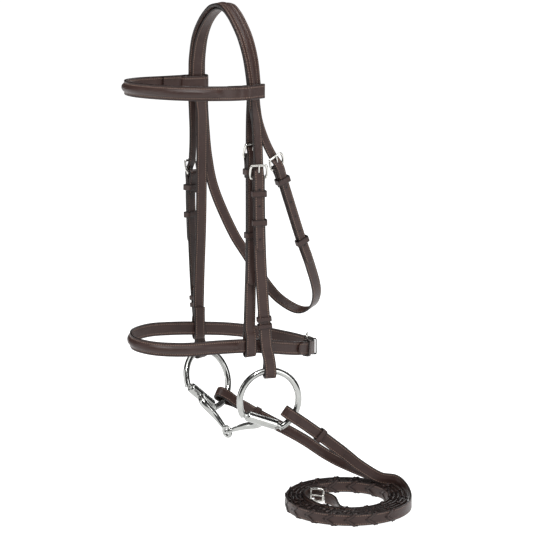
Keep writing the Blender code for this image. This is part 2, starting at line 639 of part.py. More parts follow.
def make_hangers(crown):
    """The noseband's hanger: one strap over the poll, buckled to a short near cheek strap."""
    under = (CROWN_THICK + STRAP_THICK) / 2 + 0.8 * MM
    near_points = [Vector(row[:3]) for row in NEAR_HANGER_LINE]
    near_widths = [width_direction(row[3], row[4]) for row in NEAR_HANGER_LINE]
    over = [crown.place(crown.long * i / 22, -under) for i in range(1, 22)]
    far_points = [Vector(row[:3]) for row in FAR_HANGER_LINE]
    far_widths = [width_direction(row[3], row[4]) for row in FAR_HANGER_LINE]
    points = list(reversed(near_points + [p for p, _ in over] + far_points))
    widths = [-w for w in reversed(near_widths + [w for _, w in over] + far_widths)]
    route = Route(points, widths)

    s_far_band = route.at_height(NOSEBAND_SIDE_Z)
    s_near_band = route.long - (NOSEBAND_SIDE_Z - points[-1].z)
    s_buckle = s_near_band - (NOSEBAND_SIDE_Z * -1 - HANGER_BUCKLE_DOWN)
    s_tip = s_near_band - (NOSEBAND_SIDE_Z * -1 - HANGER_TIP_DOWN)
    rows = list(reversed(hanger_loop(route, s_far_band, -1)))
    rows += run(route, s_far_band + 32 * MM, s_buckle - 34 * MM) + billet_pass(route, s_buckle)
    rows += run(route, s_buckle + 18 * MM, s_tip, LAYER)
    hanger = strap("noseband_hanger", rows, HANGER_WIDE, tip_end=True)
    rows = buckle_fold(route, s_buckle) + run(route, s_buckle + 26 * MM, s_near_band - 32 * MM)
    rows += hanger_loop(route, s_near_band, 1)
    cheek = strap("noseband_cheek", rows, HANGER_WIDE)
    buckled("hanger", route, s_buckle, cheek, hanger, HANGER_WIDE)
    keeper("hanger_fixed_keeper", route, s_buckle + 20 * MM, HANGER_WIDE, -LAYER, LAYER)
    keeper("hanger_runner_keeper", route, s_buckle + 104 * MM, HANGER_WIDE, 0, LAYER)


def level_back(route):
    """The level direction backwards in the plane of the ring that hangs from a cheek route."""
    wide = route.frame(route.long)[2]
    wide = wide if wide.y > 0 else -wide
    return Vector((wide.x, wide.y, 0)).normalized()


def rein_fold(route):
    """Rows round the ring's rod at the start of a rein, from its inner layer to its outer one."""
    layer = LAYER / 2
    rows = path(route, (11 * MM, -layer - 1.2 * MM), (4 * MM, -layer - 3.8 * MM))
    rows += arc(route, -REIN_SLACK, 0, LOOP_RADIUS, 270, 90, 8)
    return rows + path(route, (4 * MM, layer + 3.8 * MM), (11 * MM, layer + 1.2 * MM))


def make_rein(side, centre, top, level, below, line):
    """A rein's folded end round the bit ring, and its run down to the coil."""
    below = math.radians(below)
    down = (centre - top).normalized()
    rod = centre + (level * math.cos(below) + down * math.sin(below)) * RING_RADIUS
    along_rod = level * math.sin(below) - down * math.cos(below)
    ahead = Vector(line[0][:3]) - rod
    ahead = (ahead - along_rod * ahead.dot(along_rod)).normalized()
    points = [rod, rod + ahead * 0.024] + [Vector(row[:3]) for row in line]
    widths = [along_rod, along_rod] + [width_direction(row[3], row[4]) for row in line]
    route = Route(points, widths)
    layer = LAYER / 2
    rows = run(route, REIN_FOLD, 18 * MM, -layer)
    rows += rein_fold(route)
    rows += run(route, 18 * MM, REIN_FOLD, layer)
    billet = strap(f"{side}_rein_billet", rows, REIN_WIDE)
    make_stud(f"{side}_rein_hook_stud", route, REIN_FOLD - 9 * MM, billet, -layer)
    keeper(f"{side}_rein_keeper", route, 50 * MM, REIN_WIDE, -layer, layer, room=1.2 * MM)
    strap(f"{side}_rein_run", run(route, REIN_FOLD + FIT, route.long, 0), REIN_WIDE)


def make_coil():
    """The outer shape of the two reins, wound together on edge."""
    top = FLOOR + REIN_WIDE
    outline = ((COIL_RADIUS, top), (COIL_RADIUS, FLOOR), (COIL_RADIUS - COIL_WALL, FLOOR),
               (COIL_RADIUS - COIL_WALL, top))
    bm = bmesh.new()
    corners = [bm.verts.new((x, 0, z)) for x, z in outline]
    for i in range(4):
        bm.edges.new((corners[i], corners[(i + 1) % 4]))
    mesh = bpy.data.meshes.new("rein_coil")
    bm.to_mesh(mesh)
    bm.free()
    obj = bpy.data.objects.new("rein_coil", mesh)
    obj.location = (COIL_CENTRE.x, COIL_CENTRE.y, 0)
    turn = obj.modifiers.new("turned", "SCREW")
    turn.steps = turn.render_steps = 48
    turn.use_merge_vertices = True
    turn.merge_threshold = 0.0001
    BRIDLE.objects.link(obj)
    return finish(obj, "rein_coil", LEATHER)


def make_centre_buckle():
    """The buckle that joins the two reins, lying on edge inside the coil."""
    place = Matrix.Translation(CENTRE_BUCKLE)
    turn = Matrix.Rotation(math.radians(CENTRE_BUCKLE_HEADING), 4, "Z")
    on_edge = Matrix(((0, 1, 0), (0, 0, 1), (1, 0, 0))).to_4x4()
    matrix = place @ turn @ on_edge
    buckle("rein_buckle", matrix, REIN_WIDE - 4.6 * MM)
    tongue("rein_buckle_tongue", matrix)


def make_chin_buckle(route, noseband):
    """The noseband's buckle behind the jaw, with the keepers for its billet."""
    matrix = route.matrix(0.0)
    boolean(noseband, slot("chin_slot", matrix, 3.2 * MM, -9 * MM, 8 * MM), "DIFFERENCE")
    low, high = (matrix @ Vector((0, 7 * MM, z)) for z in (-3 * MM, 9 * MM))
    hole = cylinder("chin_hole", low, high, 4 * MM)
    boolean(noseband, hole, "DIFFERENCE")
    buckle("chin_buckle", matrix, BAND_WIDE)
    tongue("chin_tongue", matrix)
    keeper("chin_fixed_keeper", route, 18 * MM, BAND_WIDE, -LAYER, LAYER, tall=6 * MM, room=1.3 * MM)
    keeper("chin_runner_keeper", route, 44 * MM, BAND_WIDE, 0, LAYER, tall=6 * MM, room=0.8 * MM)


def main():
    clear_scene()
    crown = route_of(CROWN_LINE)
    near, far, throat = route_of(NEAR_CHEEK_LINE), route_of(FAR_CHEEK_LINE), route_of(THROAT_LINE)
    near_tip, far_tip, throat_tip = near.at_height(-0.31), far.at_height(-0.326), throat.at_height(-0.338)
    throat_buckle = throat.at_height(-0.2025)
    headpiece = make_headpiece(crown, (
        ("near_cheek_billet", near, near.at_height(-0.214), near_tip, BILLET_WIDE),
        ("far_cheek_billet", far, far.at_height(-0.227), far_tip, BILLET_WIDE),
        ("near_throat_billet", throat, throat_buckle, throat_tip, THROAT_WIDE - 3 * MM),
    ))
    make_cheek("near", near, {"buckle": -0.214, "runner": -0.272}, headpiece)
    make_cheek("far", far, {"buckle": -0.227, "runner": -0.285}, headpiece)

    rows = buckle_fold(throat, throat_buckle) + run(throat, throat_buckle + 26 * MM, throat.long)
    throatlatch = strap("throatlatch", rows, THROAT_WIDE)
    buckled("throat", throat, throat_buckle, throatlatch, headpiece, THROAT_WIDE)
    keeper("throat_fixed_keeper", throat, throat_buckle + 20 * MM, THROAT_WIDE, -LAYER, LAYER)
    keeper("throat_runner_keeper", throat, throat.at_height(-0.306), THROAT_WIDE, 0, LAYER)

    make_browband(crown)
    make_hangers(crown)
    nose = Route([Vector(p) for p in NOSEBAND_LINE], [Vector((0, 0, -1))] * len(NOSEBAND_LINE), closed=True)
    make_chin_buckle(nose, make_noseband(nose))

    near_top, near_centre, near_barrel, near_chord = bit_ring("near_bit_ring", near, near.long, 20, 0)
    far_top, far_centre, far_barrel, far_chord = bit_ring("far_bit_ring", far, far.long, 45, 20)
    make_mouthpiece(near_barrel, near_chord, far_barrel, far_chord)

    make_rein("near", near_centre, near_top, level_back(near), NEAR_REIN_BELOW, NEAR_REIN_LINE)
    make_rein("far", far_centre, far_top, level_back(far), FAR_REIN_BELOW, FAR_REIN_LINE)
    make_coil()
    make_centre_buckle()


BRIDLE = new_collection("snaffle_bridle", True)
CUTTERS = new_collection("cutters", False)
main()
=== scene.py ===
import math

import bpy
from mathutils import Matrix, Vector


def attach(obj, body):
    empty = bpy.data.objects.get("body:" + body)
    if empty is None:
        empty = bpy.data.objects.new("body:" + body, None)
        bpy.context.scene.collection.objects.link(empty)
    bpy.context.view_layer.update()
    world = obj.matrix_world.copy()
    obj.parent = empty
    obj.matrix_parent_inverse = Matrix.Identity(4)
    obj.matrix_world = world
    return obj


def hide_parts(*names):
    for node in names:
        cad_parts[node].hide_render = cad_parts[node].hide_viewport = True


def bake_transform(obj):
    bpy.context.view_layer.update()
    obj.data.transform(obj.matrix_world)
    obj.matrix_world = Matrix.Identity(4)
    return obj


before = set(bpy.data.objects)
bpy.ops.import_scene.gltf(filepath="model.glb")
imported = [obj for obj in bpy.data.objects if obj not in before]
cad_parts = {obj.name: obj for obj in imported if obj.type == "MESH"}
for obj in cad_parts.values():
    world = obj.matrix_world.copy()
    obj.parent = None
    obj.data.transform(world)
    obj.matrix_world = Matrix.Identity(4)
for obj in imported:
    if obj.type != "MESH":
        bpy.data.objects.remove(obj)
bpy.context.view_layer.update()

MM = 0.001

# ---------------------------------------------------------------- camera
# A long lens from the near side's front, a little above the noseband.
CAMERA_TURN = math.radians(60)
CAMERA_RISE = math.radians(11)
CAMERA_AWAY = 2.6
LENS = 128.2
AIM = Vector((0, 0.066, -0.351))

camera = bpy.data.objects.new("camera", bpy.data.cameras.new("camera"))
bpy.context.scene.collection.objects.link(camera)
back = Vector((math.sin(CAMERA_TURN) * math.cos(CAMERA_RISE),
               -math.cos(CAMERA_TURN) * math.cos(CAMERA_RISE), math.sin(CAMERA_RISE)))
camera.location = AIM + back * CAMERA_AWAY
camera.rotation_mode = "QUATERNION"
camera.rotation_quaternion = (-back).to_track_quat("-Z", "Y")
camera.data.lens = LENS
camera.data.sensor_width = 36
bpy.context.scene.camera = camera


# ---------------------------------------------------------------- strap routes
# Every strap follows a smooth line through a few chosen points, each with the direction of the
# strap's width. A strap's rows are places along that line, in one layer or another of the leather.
STRAP_THICK = 2.8 * MM
LAYER = 3.3 * MM
STEP = 4 * MM
PARTS = 12                  # places along a route between two of its points


def spline_point(a, b, c, d, u):
    """A point of the smooth curve between b and c, at the share u of the way."""
    return 0.5 * (2 * b + (c - a) * u + (2 * a - 5 * b + 4 * c - d) * u**2 + (3 * b - a - 3 * c + d) * u**3)


def neighbours(i, count, closed):
    """Which of count points shape the curve from point i to the next."""
    return [(i + k) % count if closed else min(max(i + k, 0), count - 1) for k in (-1, 0, 1, 2)]


def width_direction(heading, dip):
    """The way a strap's width points, where its outward face has this heading."""
    h, d = math.radians(heading), math.radians(dip)
    return Vector((-math.sin(h) * math.cos(d), math.cos(h) * math.cos(d), math.sin(d)))


class Route:
    """A smooth line that straps follow, with the direction of their width at each place on it."""

    def __init__(self, points, widths, closed=False):
        self.closed = closed
        self.places = []
        count = len(points)
        for i in range(count if closed else count - 1):
            near = neighbours(i, count, closed)
            for j in range(PARTS):
                at = spline_point(*(points[k] for k in near), j / PARTS)
                self.places.append((at, widths[near[1]].lerp(widths[near[2]], j / PARTS)))
        last = 0 if closed else count - 1
        self.places.append((points[last].copy(), widths[last].copy()))
        self.lengths = [0.0]
        for (a, _), (b, _) in zip(self.places, self.places[1:]):
            self.lengths.append(self.lengths[-1] + (b - a).length)
        self.long = self.lengths[-1]

    def sample(self, s):
        """The place and the width direction at distance s, straight on past an open route's ends."""
        if self.closed:
            s %= self.long
        elif s < 0:
            ahead = (self.places[1][0] - self.places[0][0]).normalized()
            return self.places[0][0] + ahead * s, self.places[0][1]
        elif s > self.long:
            ahead = (self.places[-1][0] - self.places[-2][0]).normalized()
            return self.places[-1][0] + ahead * (s - self.long), self.places[-1][1]
        i = 0
        while i < len(self.lengths) - 2 and self.lengths[i + 1] < s:
            i += 1
        u = (s - self.lengths[i]) / (self.lengths[i + 1] - self.lengths[i])
        (a, wa), (b, wb) = self.places[i], self.places[i + 1]
        return a + (b - a) * u, wa.lerp(wb, u)

    def frame(self, s):
        """Place, tangent, width direction and outward face at distance s."""
        place, wide = self.sample(s)
        tangent = (self.sample(s + MM)[0] - self.sample(s - MM)[0]).normalized()
        wide = (wide - tangent * wide.dot(tangent)).normalized()
        return place, tangent, wide, tangent.cross(wide)

    def place(self, s, out=0.0):
        place, _, wide, face = self.frame(s)
        return place + face * out, wide

    def matrix(self, s, out=0.0):
        """Axes for fittings: X across the strap, Y back along it, Z out of its face."""
        place, tangent, wide, face = self.frame(s)
        return Matrix.Translation(place + face * out) @ Matrix((wide, -tangent, face)).transposed().to_4x4()

    def at_height(self, z):
        """The distance at which the route first passes the height z."""
        for i, ((a, _), (b, _)) in enumerate(zip(self.places, self.places[1:])):
            if min(a.z, b.z) <= z <= max(a.z, b.z):
                return self.lengths[i] + (z - a.z) / (b.z - a.z) * (self.lengths[i + 1] - self.lengths[i])
        raise ValueError(f"no place at height {z}")


def route_of(line):
    return Route([Vector(row[:3]) for row in line], [width_direction(row[3], row[4]) for row in line])


def run(route, start, end, out=0.0):
    """Rows along a route from start to end, at one height above it."""
    count = max(1, round(abs(end - start) / STEP))
    return [route.place(start + (end - start) * i / count, out) for i in range(count + 1)]


def path(route, *stations):
    """Rows at stations (distance, out), for the short bends of folds and buckles."""
    return [route.place(s, out) for s, out in stations]


def arc(route, s, out, radius, start, end, count):
    """Rows round a bar at (s, out): angles count from the strap's own way, out of its face."""
    rows = []
    for i in range(count + 1):
        angle = math.radians(start + (end - start) * i / count)
        rows.append(route.place(s + radius * math.cos(angle), out + radius * math.sin(angle)))
    return rows


# ---------------------------------------------------------------- shader words
# A socket that can be used in sums, so that a finish reads as a formula.
class Value:
    def __init__(self, tree, socket):
        self.tree = tree
        self.socket = socket

    def node(self, kind, settings=(), **inputs):
        node = self.tree.nodes.new(kind)
        for key, value in dict(settings).items():
            setattr(node, key, value)
        for key, value in inputs.items():
            name = int(key[1:]) if key[0] == "_" else key.replace("_", " ")
            if isinstance(value, Value):
                self.tree.links.new(value.socket, node.inputs[name])
            else:
                node.inputs[name].default_value = value
        return node

    def maths(self, operation, *values):
        numbered = {f"_{i}": value for i, value in enumerate(values)}
        node = self.node("ShaderNodeMath", {"operation": operation}, **numbered)
        return Value(self.tree, node.outputs[0])

    def __add__(self, other):
        return self.maths("ADD", self, other)

    def __mul__(self, other):
        return self.maths("MULTIPLY", self, other)

    __rmul__ = __mul__

    def __sub__(self, other):
        return self.maths("SUBTRACT", self, other)

    def __rsub__(self, other):
        return self.maths("SUBTRACT", other, self)

    def __truediv__(self, other):
        return self.maths("DIVIDE", self, other)

    def below(self, edge, soft):
        """1 where the value is under edge, falling to 0 over the soft width above it."""
        node = self.node("ShaderNodeMapRange", {"interpolation_type": "SMOOTHSTEP", "clamp": True},
                         _0=self, _1=edge, _2=edge + soft, _3=1.0, _4=0.0)
        return Value(self.tree, node.outputs[0])

    def near(self, middle, half, soft):
        """1 within half of middle, with soft sides."""
        return self.maths("ABSOLUTE", self - middle).below(half, soft)

    def noise(self, where, scale, detail=3.0, rough=0.5):
        node = self.node("ShaderNodeTexNoise", {}, Vector=where, Scale=scale, Detail=detail, Roughness=rough)
        return Value(self.tree, node.outputs["Fac"])

    def cells(self, where, scale):
        node = self.node("ShaderNodeTexVoronoi", {"feature": "DISTANCE_TO_EDGE"}, Vector=where, Scale=scale)
        return Value(self.tree, node.outputs["Distance"])

    def tint(self, mask, first, second):
        node = self.node("ShaderNodeMix", {"data_type": "RGBA"})
        for index, value in ((0, mask), (6, first), (7, second)):
            if isinstance(value, Value):
                self.tree.links.new(value.socket, node.inputs[index])
            else:
                node.inputs[index].default_value = value if index == 0 else (*value, 1)
        return Value(self.tree, node.outputs[2])

    def bump(self, height, distance, strength, under=None):
        extra = {"Normal": under} if under else {}
        node = self.node("ShaderNodeBump", {}, Height=height, Distance=distance, Strength=strength, **extra)
        return Value(self.tree, node.outputs["Normal"])


def new_material(name):
    """A material, a Value to start formulas from, its shader, and where the surface is."""
    material = bpy.data.materials.new(name)
    material.use_nodes = True
    tree = material.node_tree
    places = tree.nodes.new("ShaderNodeTexCoord")
    shader = tree.nodes["Principled BSDF"]
    return material, Value(tree, places.outputs["Object"]), shader, Value(tree, places.outputs["UV"])


def feed(value, shader, name):
    value.tree.links.new(value.socket, shader.inputs[name])


# ---------------------------------------------------------------- havana leather
# Bridle leather, curried and waxed to a satin face: a fine grain, a creased line and a row of brown
# stitches along each edge, and edges that are stained darker and burnished.
# The crease line and the stitch grooves are darkened with painted shade, and punched holes are painted as
# dark spots of shade.
HAVANA = (0.0215, 0.0112, 0.0095)
HAVANA_WORN = (0.056, 0.0300, 0.0250)
# Stain for the cut edges, also used as painted shade in the crease line and the stitch grooves.
EDGE_STAIN_AND_SHADE = (0.0065, 0.0042, 0.0038)
THREAD = (0.185, 0.118, 0.090)
STITCH = 3.1 * MM
CREASE_IN = 1.0 * MM


def leather(name, wide, stitch_in=(2.3 * MM,), holes=None, gloss=0.40):
    """Leather for a strap whose UV map holds metres along it and metres across it.

    stitch_in lists how far in from the edges its rows of stitches lie. holes gives the first punched
    hole's distance along the strap, their pitch and their number; each hole is a painted dark spot of
    shade with a dip in the bump, not a cut.
    """
    material, where, shader, uv = new_material(name)
    split = where.node("ShaderNodeSeparateXYZ", {}, Vector=uv)
    along, across = Value(where.tree, split.outputs[0]), Value(where.tree, split.outputs[1])
    inward = where.maths("MINIMUM", across, wide - across)
    mottle = where.noise(where, 55.0, 4.0, 0.6)
    wear = where.noise(where, 420.0, 2.0)
    grain = where.cells(where, 1150.0)
    creases = where.noise(where, 240.0, 5.0, 0.65)
    edge = inward.below(0.25 * MM, 0.7 * MM)
    line = inward.near(CREASE_IN, 0.12 * MM, 0.22 * MM)
    colour = where.tint(mottle * 0.75, HAVANA, HAVANA_WORN)
    colour = where.tint(edge * 0.85, colour, EDGE_STAIN_AND_SHADE)
    # Painted shade: the crease line's groove is darkened.
    colour = where.tint(line * 0.6, colour, EDGE_STAIN_AND_SHADE)
    height = grain.below(0.0, 0.25) * -0.25 + creases * 0.95 - line * 0.9
    rough = mottle * 0.22 + wear * 0.12 + (gloss - 0.20) - edge * 0.08
    stitches = 0.0 * wear
    beat = where.maths("FRACT", along / STITCH)
    for inset in stitch_in:
        row = inward.near(inset, 0.38 * MM, 0.20 * MM)
        bed = inward.near(inset, 0.70 * MM, 0.45 * MM)
        dash = beat.near(0.5, 0.30, 0.10)
        thread = row * dash
        stitches = where.maths("MAXIMUM", stitches, thread)
        # Painted shade: the stitch groove is darkened between the stitches.
        colour = where.tint(bed * (1.0 - dash) * 0.75, colour, EDGE_STAIN_AND_SHADE)
        height = height - bed * 0.9 + thread * 1.3
    colour = where.tint(stitches * 0.85, colour, THREAD)
    rough = rough + stitches * 0.25
    if holes:
        first, pitch, count = holes
        for i in range(count):
            far = where.maths("ADD", where.maths("POWER", along - (first + i * pitch), 2.0),
                              where.maths("POWER", across - wide / 2, 2.0))
            hole = where.maths("SQRT", far).below(1.3 * MM, 0.35 * MM)
            # Painted shade: the punched hole is a near-black spot, not a cut.
            colour = where.tint(hole * 0.95, colour, (0.004, 0.003, 0.003))
            height = height - hole * 2.5
    feed(colour, shader, "Base Color")
    feed(rough, shader, "Roughness")
    shader.inputs["Specular IOR Level"].default_value = 0.26
    shader.inputs["Coat Weight"].default_value = 0.04
    shader.inputs["Coat Roughness"].default_value = 0.32
    feed(where.bump(height, 0.28 * MM, 0.75), shader, "Normal")
    return material


def side_height(inward, thick, turned):
    """Half the strap's thickness this far in from its edge, where its corner is turned over."""
    if inward >= turned:
        return thick / 2
    return thick / 2 * (1 - (1 - inward / turned) ** 2.4) ** (1 / 2.4)


def section(wide, thick, shapes, amount):
    """A strap's cut section from its left edge over the face and back: across, out, metres across.

    Each shape is a swell of the face: where it is, its half width, its height and its fullness.
    """
    turned = min(1.1 * MM, thick * 0.4)
    insets = [0, 0.05 * turned, 0.22 * turned, 0.55 * turned, turned]
    middle = wide / 2
    count = 14 if shapes else 6
    insets += [turned + (middle - turned) * i / (count / 2) for i in range(1, count // 2)]
    lefts = [(x, -middle + x) for x in insets]
    rights = [(x, middle - x) for x in reversed(insets)]
    steps = lefts + [(middle, 0.0)] + rights
    face = []
    for inset, across in steps:
        rise = side_height(inset, thick, turned)
        rise += sum(tall * amount * max(0.0, math.cos(math.pi / 2 * min(1, abs(across - at) / half))) ** power
                    for at, half, tall, power in shapes)
        face.append((across, rise, across + middle))
    lining = [(across, -side_height(inset, thick, turned), across + middle)
              for inset, across in reversed(steps)]
    return face[:-1] + lining


def smooth_rows(rows, closed):
    """More rows, on a smooth curve through the given ones."""
    found = []
    count = len(rows)
    for i in range(count - 1):
        near = neighbours(i, count - 1 if closed else count, closed)
        parts = max(1, min(4, math.ceil((rows[i + 1][0] - rows[i][0]).length / (2.2 * MM))))
        for j in range(parts):
            at = spline_point(*(rows[k][0] for k in near), j / parts)
            found.append((at, rows[near[1]][1].lerp(rows[near[2]][1], j / parts)))
    found.append(rows[-1])
    return found


def strap(name, rows, wide, material, thick=STRAP_THICK, tip=0.0, tip_start=0.0, shapes=(), amount=None,
          closed=False):
    """A length of leather along rows, with turned edges, metres in its UV map and rounded tips."""
    rows = smooth_rows(rows, closed)
    last = len(rows) - 1
    far = [0.0]
    for (a, _), (b, _) in zip(rows, rows[1:]):
        far.append(far[-1] + (b - a).length)
    total = far[-1]
    around = len(section(wide, thick, shapes, 0)) - 1
    bpy.ops.object.select_all(action="DESELECT")
    bpy.ops.mesh.primitive_grid_add(x_subdivisions=last, y_subdivisions=around, size=1)
    obj = bpy.context.object
    obj.name = obj.data.name = name
    facts = {}
    cuts = [section(wide, thick, shapes, amount(d / total) if amount else 1.0) for d in far]
    for vertex in obj.data.vertices:
        i = round((vertex.co.x + 0.5) * last)
        j = round((vertex.co.y + 0.5) * around)
        place, side = rows[i]
        ahead = rows[1][0] if closed and i == last else rows[min(i + 1, last)][0]
        behind = rows[last - 1][0] if closed and i == 0 else rows[max(i - 1, 0)][0]
        along = (ahead - behind).normalized()
        side = (side - along * side.dot(along)).normalized()
        out = along.cross(side)
        scale = 1.0
        for length, inset in ((tip, total - far[i]), (tip_start, far[i])):
            if length and inset < length:
                scale = min(scale, max(0.14, math.sqrt(max(0.0, 1 - (1 - inset / length) ** 2))))
        across, rise, v = cuts[i][j]
        flat = 0.55 if scale < 0.3 and not closed else 1.0
        facts[vertex.index] = (far[i], (v - wide / 2) * scale + wide / 2)
        vertex.co = place + side * across * scale + out * rise * flat
    layer = obj.data.uv_layers.active.data
    for loop in obj.data.loops:
        layer[loop.index].uv = facts[loop.vertex_index]
    close_up(obj, closed)
    obj.data.materials.clear()
    obj.data.materials.append(material)
    return obj


def close_up(obj, ring):
    """Joins the seam of a rolled-up grid, fills its two ends and turns its faces outwards."""
    bpy.context.view_layer.objects.active = obj
    obj.select_set(True)
    bpy.ops.object.mode_set(mode="EDIT")
    bpy.ops.mesh.select_all(action="SELECT")
    bpy.ops.mesh.remove_doubles(threshold=0.000004)
    if not ring:
        bpy.ops.mesh.select_all(action="DESELECT")
        bpy.ops.mesh.select_non_manifold()
        bpy.ops.mesh.fill()
    bpy.ops.mesh.select_all(action="SELECT")
    bpy.ops.mesh.normals_make_consistent(inside=False)
    bpy.ops.object.mode_set(mode="OBJECT")
    bpy.ops.object.shade_smooth_by_angle(angle=math.radians(50))
    obj.select_set(False)


def fit(obj, body, slot_name, *nodes):
    """Puts a piece on its body and hides the nodes it stands for; slot_name is not used."""
    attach(obj, body)
    if nodes:
        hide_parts(*nodes)
    return obj


# ---------------------------------------------------------------- where the bit hangs
# The cheekpieces run down each side of the head to the bit's rings, and the reins leave from those
# rings, so their lines come first. Each ring has one straight side, which turns in the bit's barrel.
NEAR_CHEEK_LINE = (
    (0.0848, -0.0049, -0.0970, 20, 0), (0.0845, -0.003, -0.1170, 6, 0), (0.0828, 0.003, -0.1410, -14, 0),
    (0.0832, 0.0045, -0.1650, -20, 0), (0.0840, 0.005, -0.1890, -20, 0), (0.0848, 0.0055, -0.2290, -20, 0),
    (0.0850, 0.006, -0.2690, -20, 0), (0.0820, 0.0095, -0.3240, -20, 0), (0.0770, 0.0160, -0.3790, -20, 0),
    (0.0750, 0.0205, -0.4190, -18, 0), (0.0732, 0.0235, -0.4420, -16, 0), (0.0694, 0.0302, -0.4620, -15, 0),
    (0.0682, 0.0318, -0.4715, -15, 0), (0.0682, 0.0318, -0.4792, -15, 0),
)
FAR_CHEEK_LINE = (
    (-0.0773, -0.0049, -0.0970, 160, 0), (-0.0790, -0.0045, -0.1170, 174, 0),
    (-0.0825, -0.0030, -0.1410, 194, 0), (-0.0838, -0.0020, -0.1650, 200, 0),
    (-0.0850, -0.0018, -0.1890, 200, 0), (-0.0868, -0.0030, -0.2240, 200, 0),
    (-0.0875, -0.0040, -0.2590, 200, 0), (-0.0860, -0.0030, -0.3260, 200, 0),
    (-0.0835, -0.0015, -0.3890, 200, 0), (-0.0796, 0.0002, -0.4350, 200, 0),
    (-0.0772, 0.0010, -0.4560, 200, 0), (-0.0764, 0.0013, -0.4680, 200, 0),
    (-0.0764, 0.0013, -0.4770, 200, 0),
)
RING_RADIUS = 41 * MM
RING_ROD = 4 * MM
CHORD = 29 * MM
CHEEKS = {"near": route_of(NEAR_CHEEK_LINE), "far": route_of(FAR_CHEEK_LINE)}


def ring_axes(cheek, forward, lean):
    """A ring's top, its centre, the way to its straight side and the way along that side."""
    place, down, wide, face = cheek.frame(cheek.long)
    forward, lean = math.radians(forward), math.radians(lean)
    top = place - face * LAYER / 2
    tangent = (down * math.cos(lean) - face * math.sin(lean)).normalized()
    level = wide if wide.y < 0 else -wide
    middle = tangent * math.cos(forward) + level * math.sin(forward)
    along = level * math.cos(forward) - tangent * math.sin(forward)
    return top, top + tangent * RING_RADIUS, middle, along


RINGS = {"near": ring_axes(CHEEKS["near"], 20, 0), "far": ring_axes(CHEEKS["far"], 45, 20)}


# ---------------------------------------------------------------- nickel wire
# Buckles and their tongues are cast and tumbled in nickel silver, then plated: bright, a little warm,
# with fine handling marks. Every frame and tongue is a bent wire.
def metal(name, light, dark, rough, marks):
    """Polished metal with a soft cloud over it and fine marks from handling."""
    material, where, shader, _ = new_material(name)
    cloud = where.noise(where, 90.0, 3.0)
    haze = where.noise(where, 900.0, 2.0)
    feed(where.tint(cloud, light, dark), shader, "Base Color")
    feed(cloud * 0.08 + haze * marks + (rough - 0.06), shader, "Roughness")
    feed(where.bump(haze + cloud * 2.0, 0.05 * MM, 0.12), shader, "Normal")
    shader.inputs["Metallic"].default_value = 1.0
    return material


NICKEL = metal("nickel_plate", (0.62, 0.61, 0.58), (0.48, 0.47, 0.44), 0.20, 0.06)
WIRE = 1.6 * MM
TONGUE = 1.1 * MM
BUCKLE_TALL = 17 * MM


def wire(name, points, radius, material, closed=False, radii=None, parts=5, sides=4):
    """A bent rod: a smooth curve through the points, made a mesh with closed ends."""
    count = len(points)
    radii = radii or [1.0] * count
    curve = bpy.data.curves.new(name, "CURVE")
    curve.dimensions = "3D"
    curve.bevel_depth = radius
    curve.bevel_resolution = sides
    curve.use_fill_caps = not closed
    smooth = []
    for i in range(count if closed else count - 1):
        near = neighbours(i, count, closed)
        for j in range(parts):
            at = spline_point(*(Vector(points[k]) for k in near), j / parts)
            smooth.append((at, radii[near[1]] + (radii[near[2]] - radii[near[1]]) * j / parts))
    if not closed:
        smooth.append((Vector(points[-1]), radii[-1]))
    spline = curve.splines.new("POLY")
    spline.points.add(len(smooth) - 1)
    for point, (at, swell) in zip(spline.points, smooth):
        point.co = (*at, 1)
        point.radius = swell
    spline.use_cyclic_u = closed
    obj = bpy.data.objects.new(name, curve)
    bpy.context.scene.collection.objects.link(obj)
    bpy.ops.object.select_all(action="DESELECT")
    bpy.context.view_layer.objects.active = obj
    obj.select_set(True)
    bpy.ops.object.convert(target="MESH")
    obj = bpy.context.object
    bpy.ops.object.mode_set(mode="EDIT")
    bpy.ops.mesh.select_all(action="SELECT")
    bpy.ops.mesh.remove_doubles(threshold=0.000004)
    bpy.ops.mesh.normals_make_consistent(inside=False)
    bpy.ops.object.mode_set(mode="OBJECT")
    bpy.ops.object.shade_smooth_by_angle(angle=math.radians(50))
    obj.select_set(False)
    obj.data.materials.clear()
    obj.data.materials.append(material)
    return obj


def buckle(node, body, matrix, inside):
    """A frame bent to sit flat: its heel bar at the matrix's origin, its top bar over the billet."""
    half = inside / 2 + 0.7 * MM + WIRE
    heel, top, high = -LAYER / 2, 3.6 * MM, BUCKLE_TALL
    corner = 2.5 * MM
    right = [
        (half - corner, 0, heel), (half - 0.5 * MM, 0.6 * MM, heel), (half, corner, heel + 0.1 * MM),
        (half + 0.7 * MM, high * 0.35, 0.6 * MM), (half + 0.7 * MM, high * 0.65, 2.4 * MM),
        (half, high - corner, top), (half - 0.5 * MM, high - 0.6 * MM, top), (half - corner, high, top),
    ]
    left = [(-x, y, z) for x, y, z in reversed(right)]
    points = [matrix @ Vector(p) for p in right + left]
    return fit(wire(f"{node}_frame", points, WIRE, NICKEL, closed=True), body, node, node)


def tongue(node, body, matrix):
    """A tongue curled round the heel bar, its tip resting on the top bar."""
    heel = -LAYER / 2
    curl = WIRE + 0.3 * MM + TONGUE
    points = [(0, -curl * math.cos(math.radians(a)), heel + curl * math.sin(math.radians(a)))
              for a in (-100, -58, -16, 26, 68, 90)]
    points += [(0, 4.5 * MM, 2.0 * MM), (0, 11 * MM, 4.9 * MM)]
    points += [(0, 16 * MM, 6.5 * MM), (0, 19 * MM, 6.6 * MM)]
    radii = [1] * 7 + [0.95, 0.9, 0.75]
    pin = wire(f"{node}_pin", [matrix @ Vector(p) for p in points], TONGUE, NICKEL, radii=radii)
    return fit(pin, body, node, node)


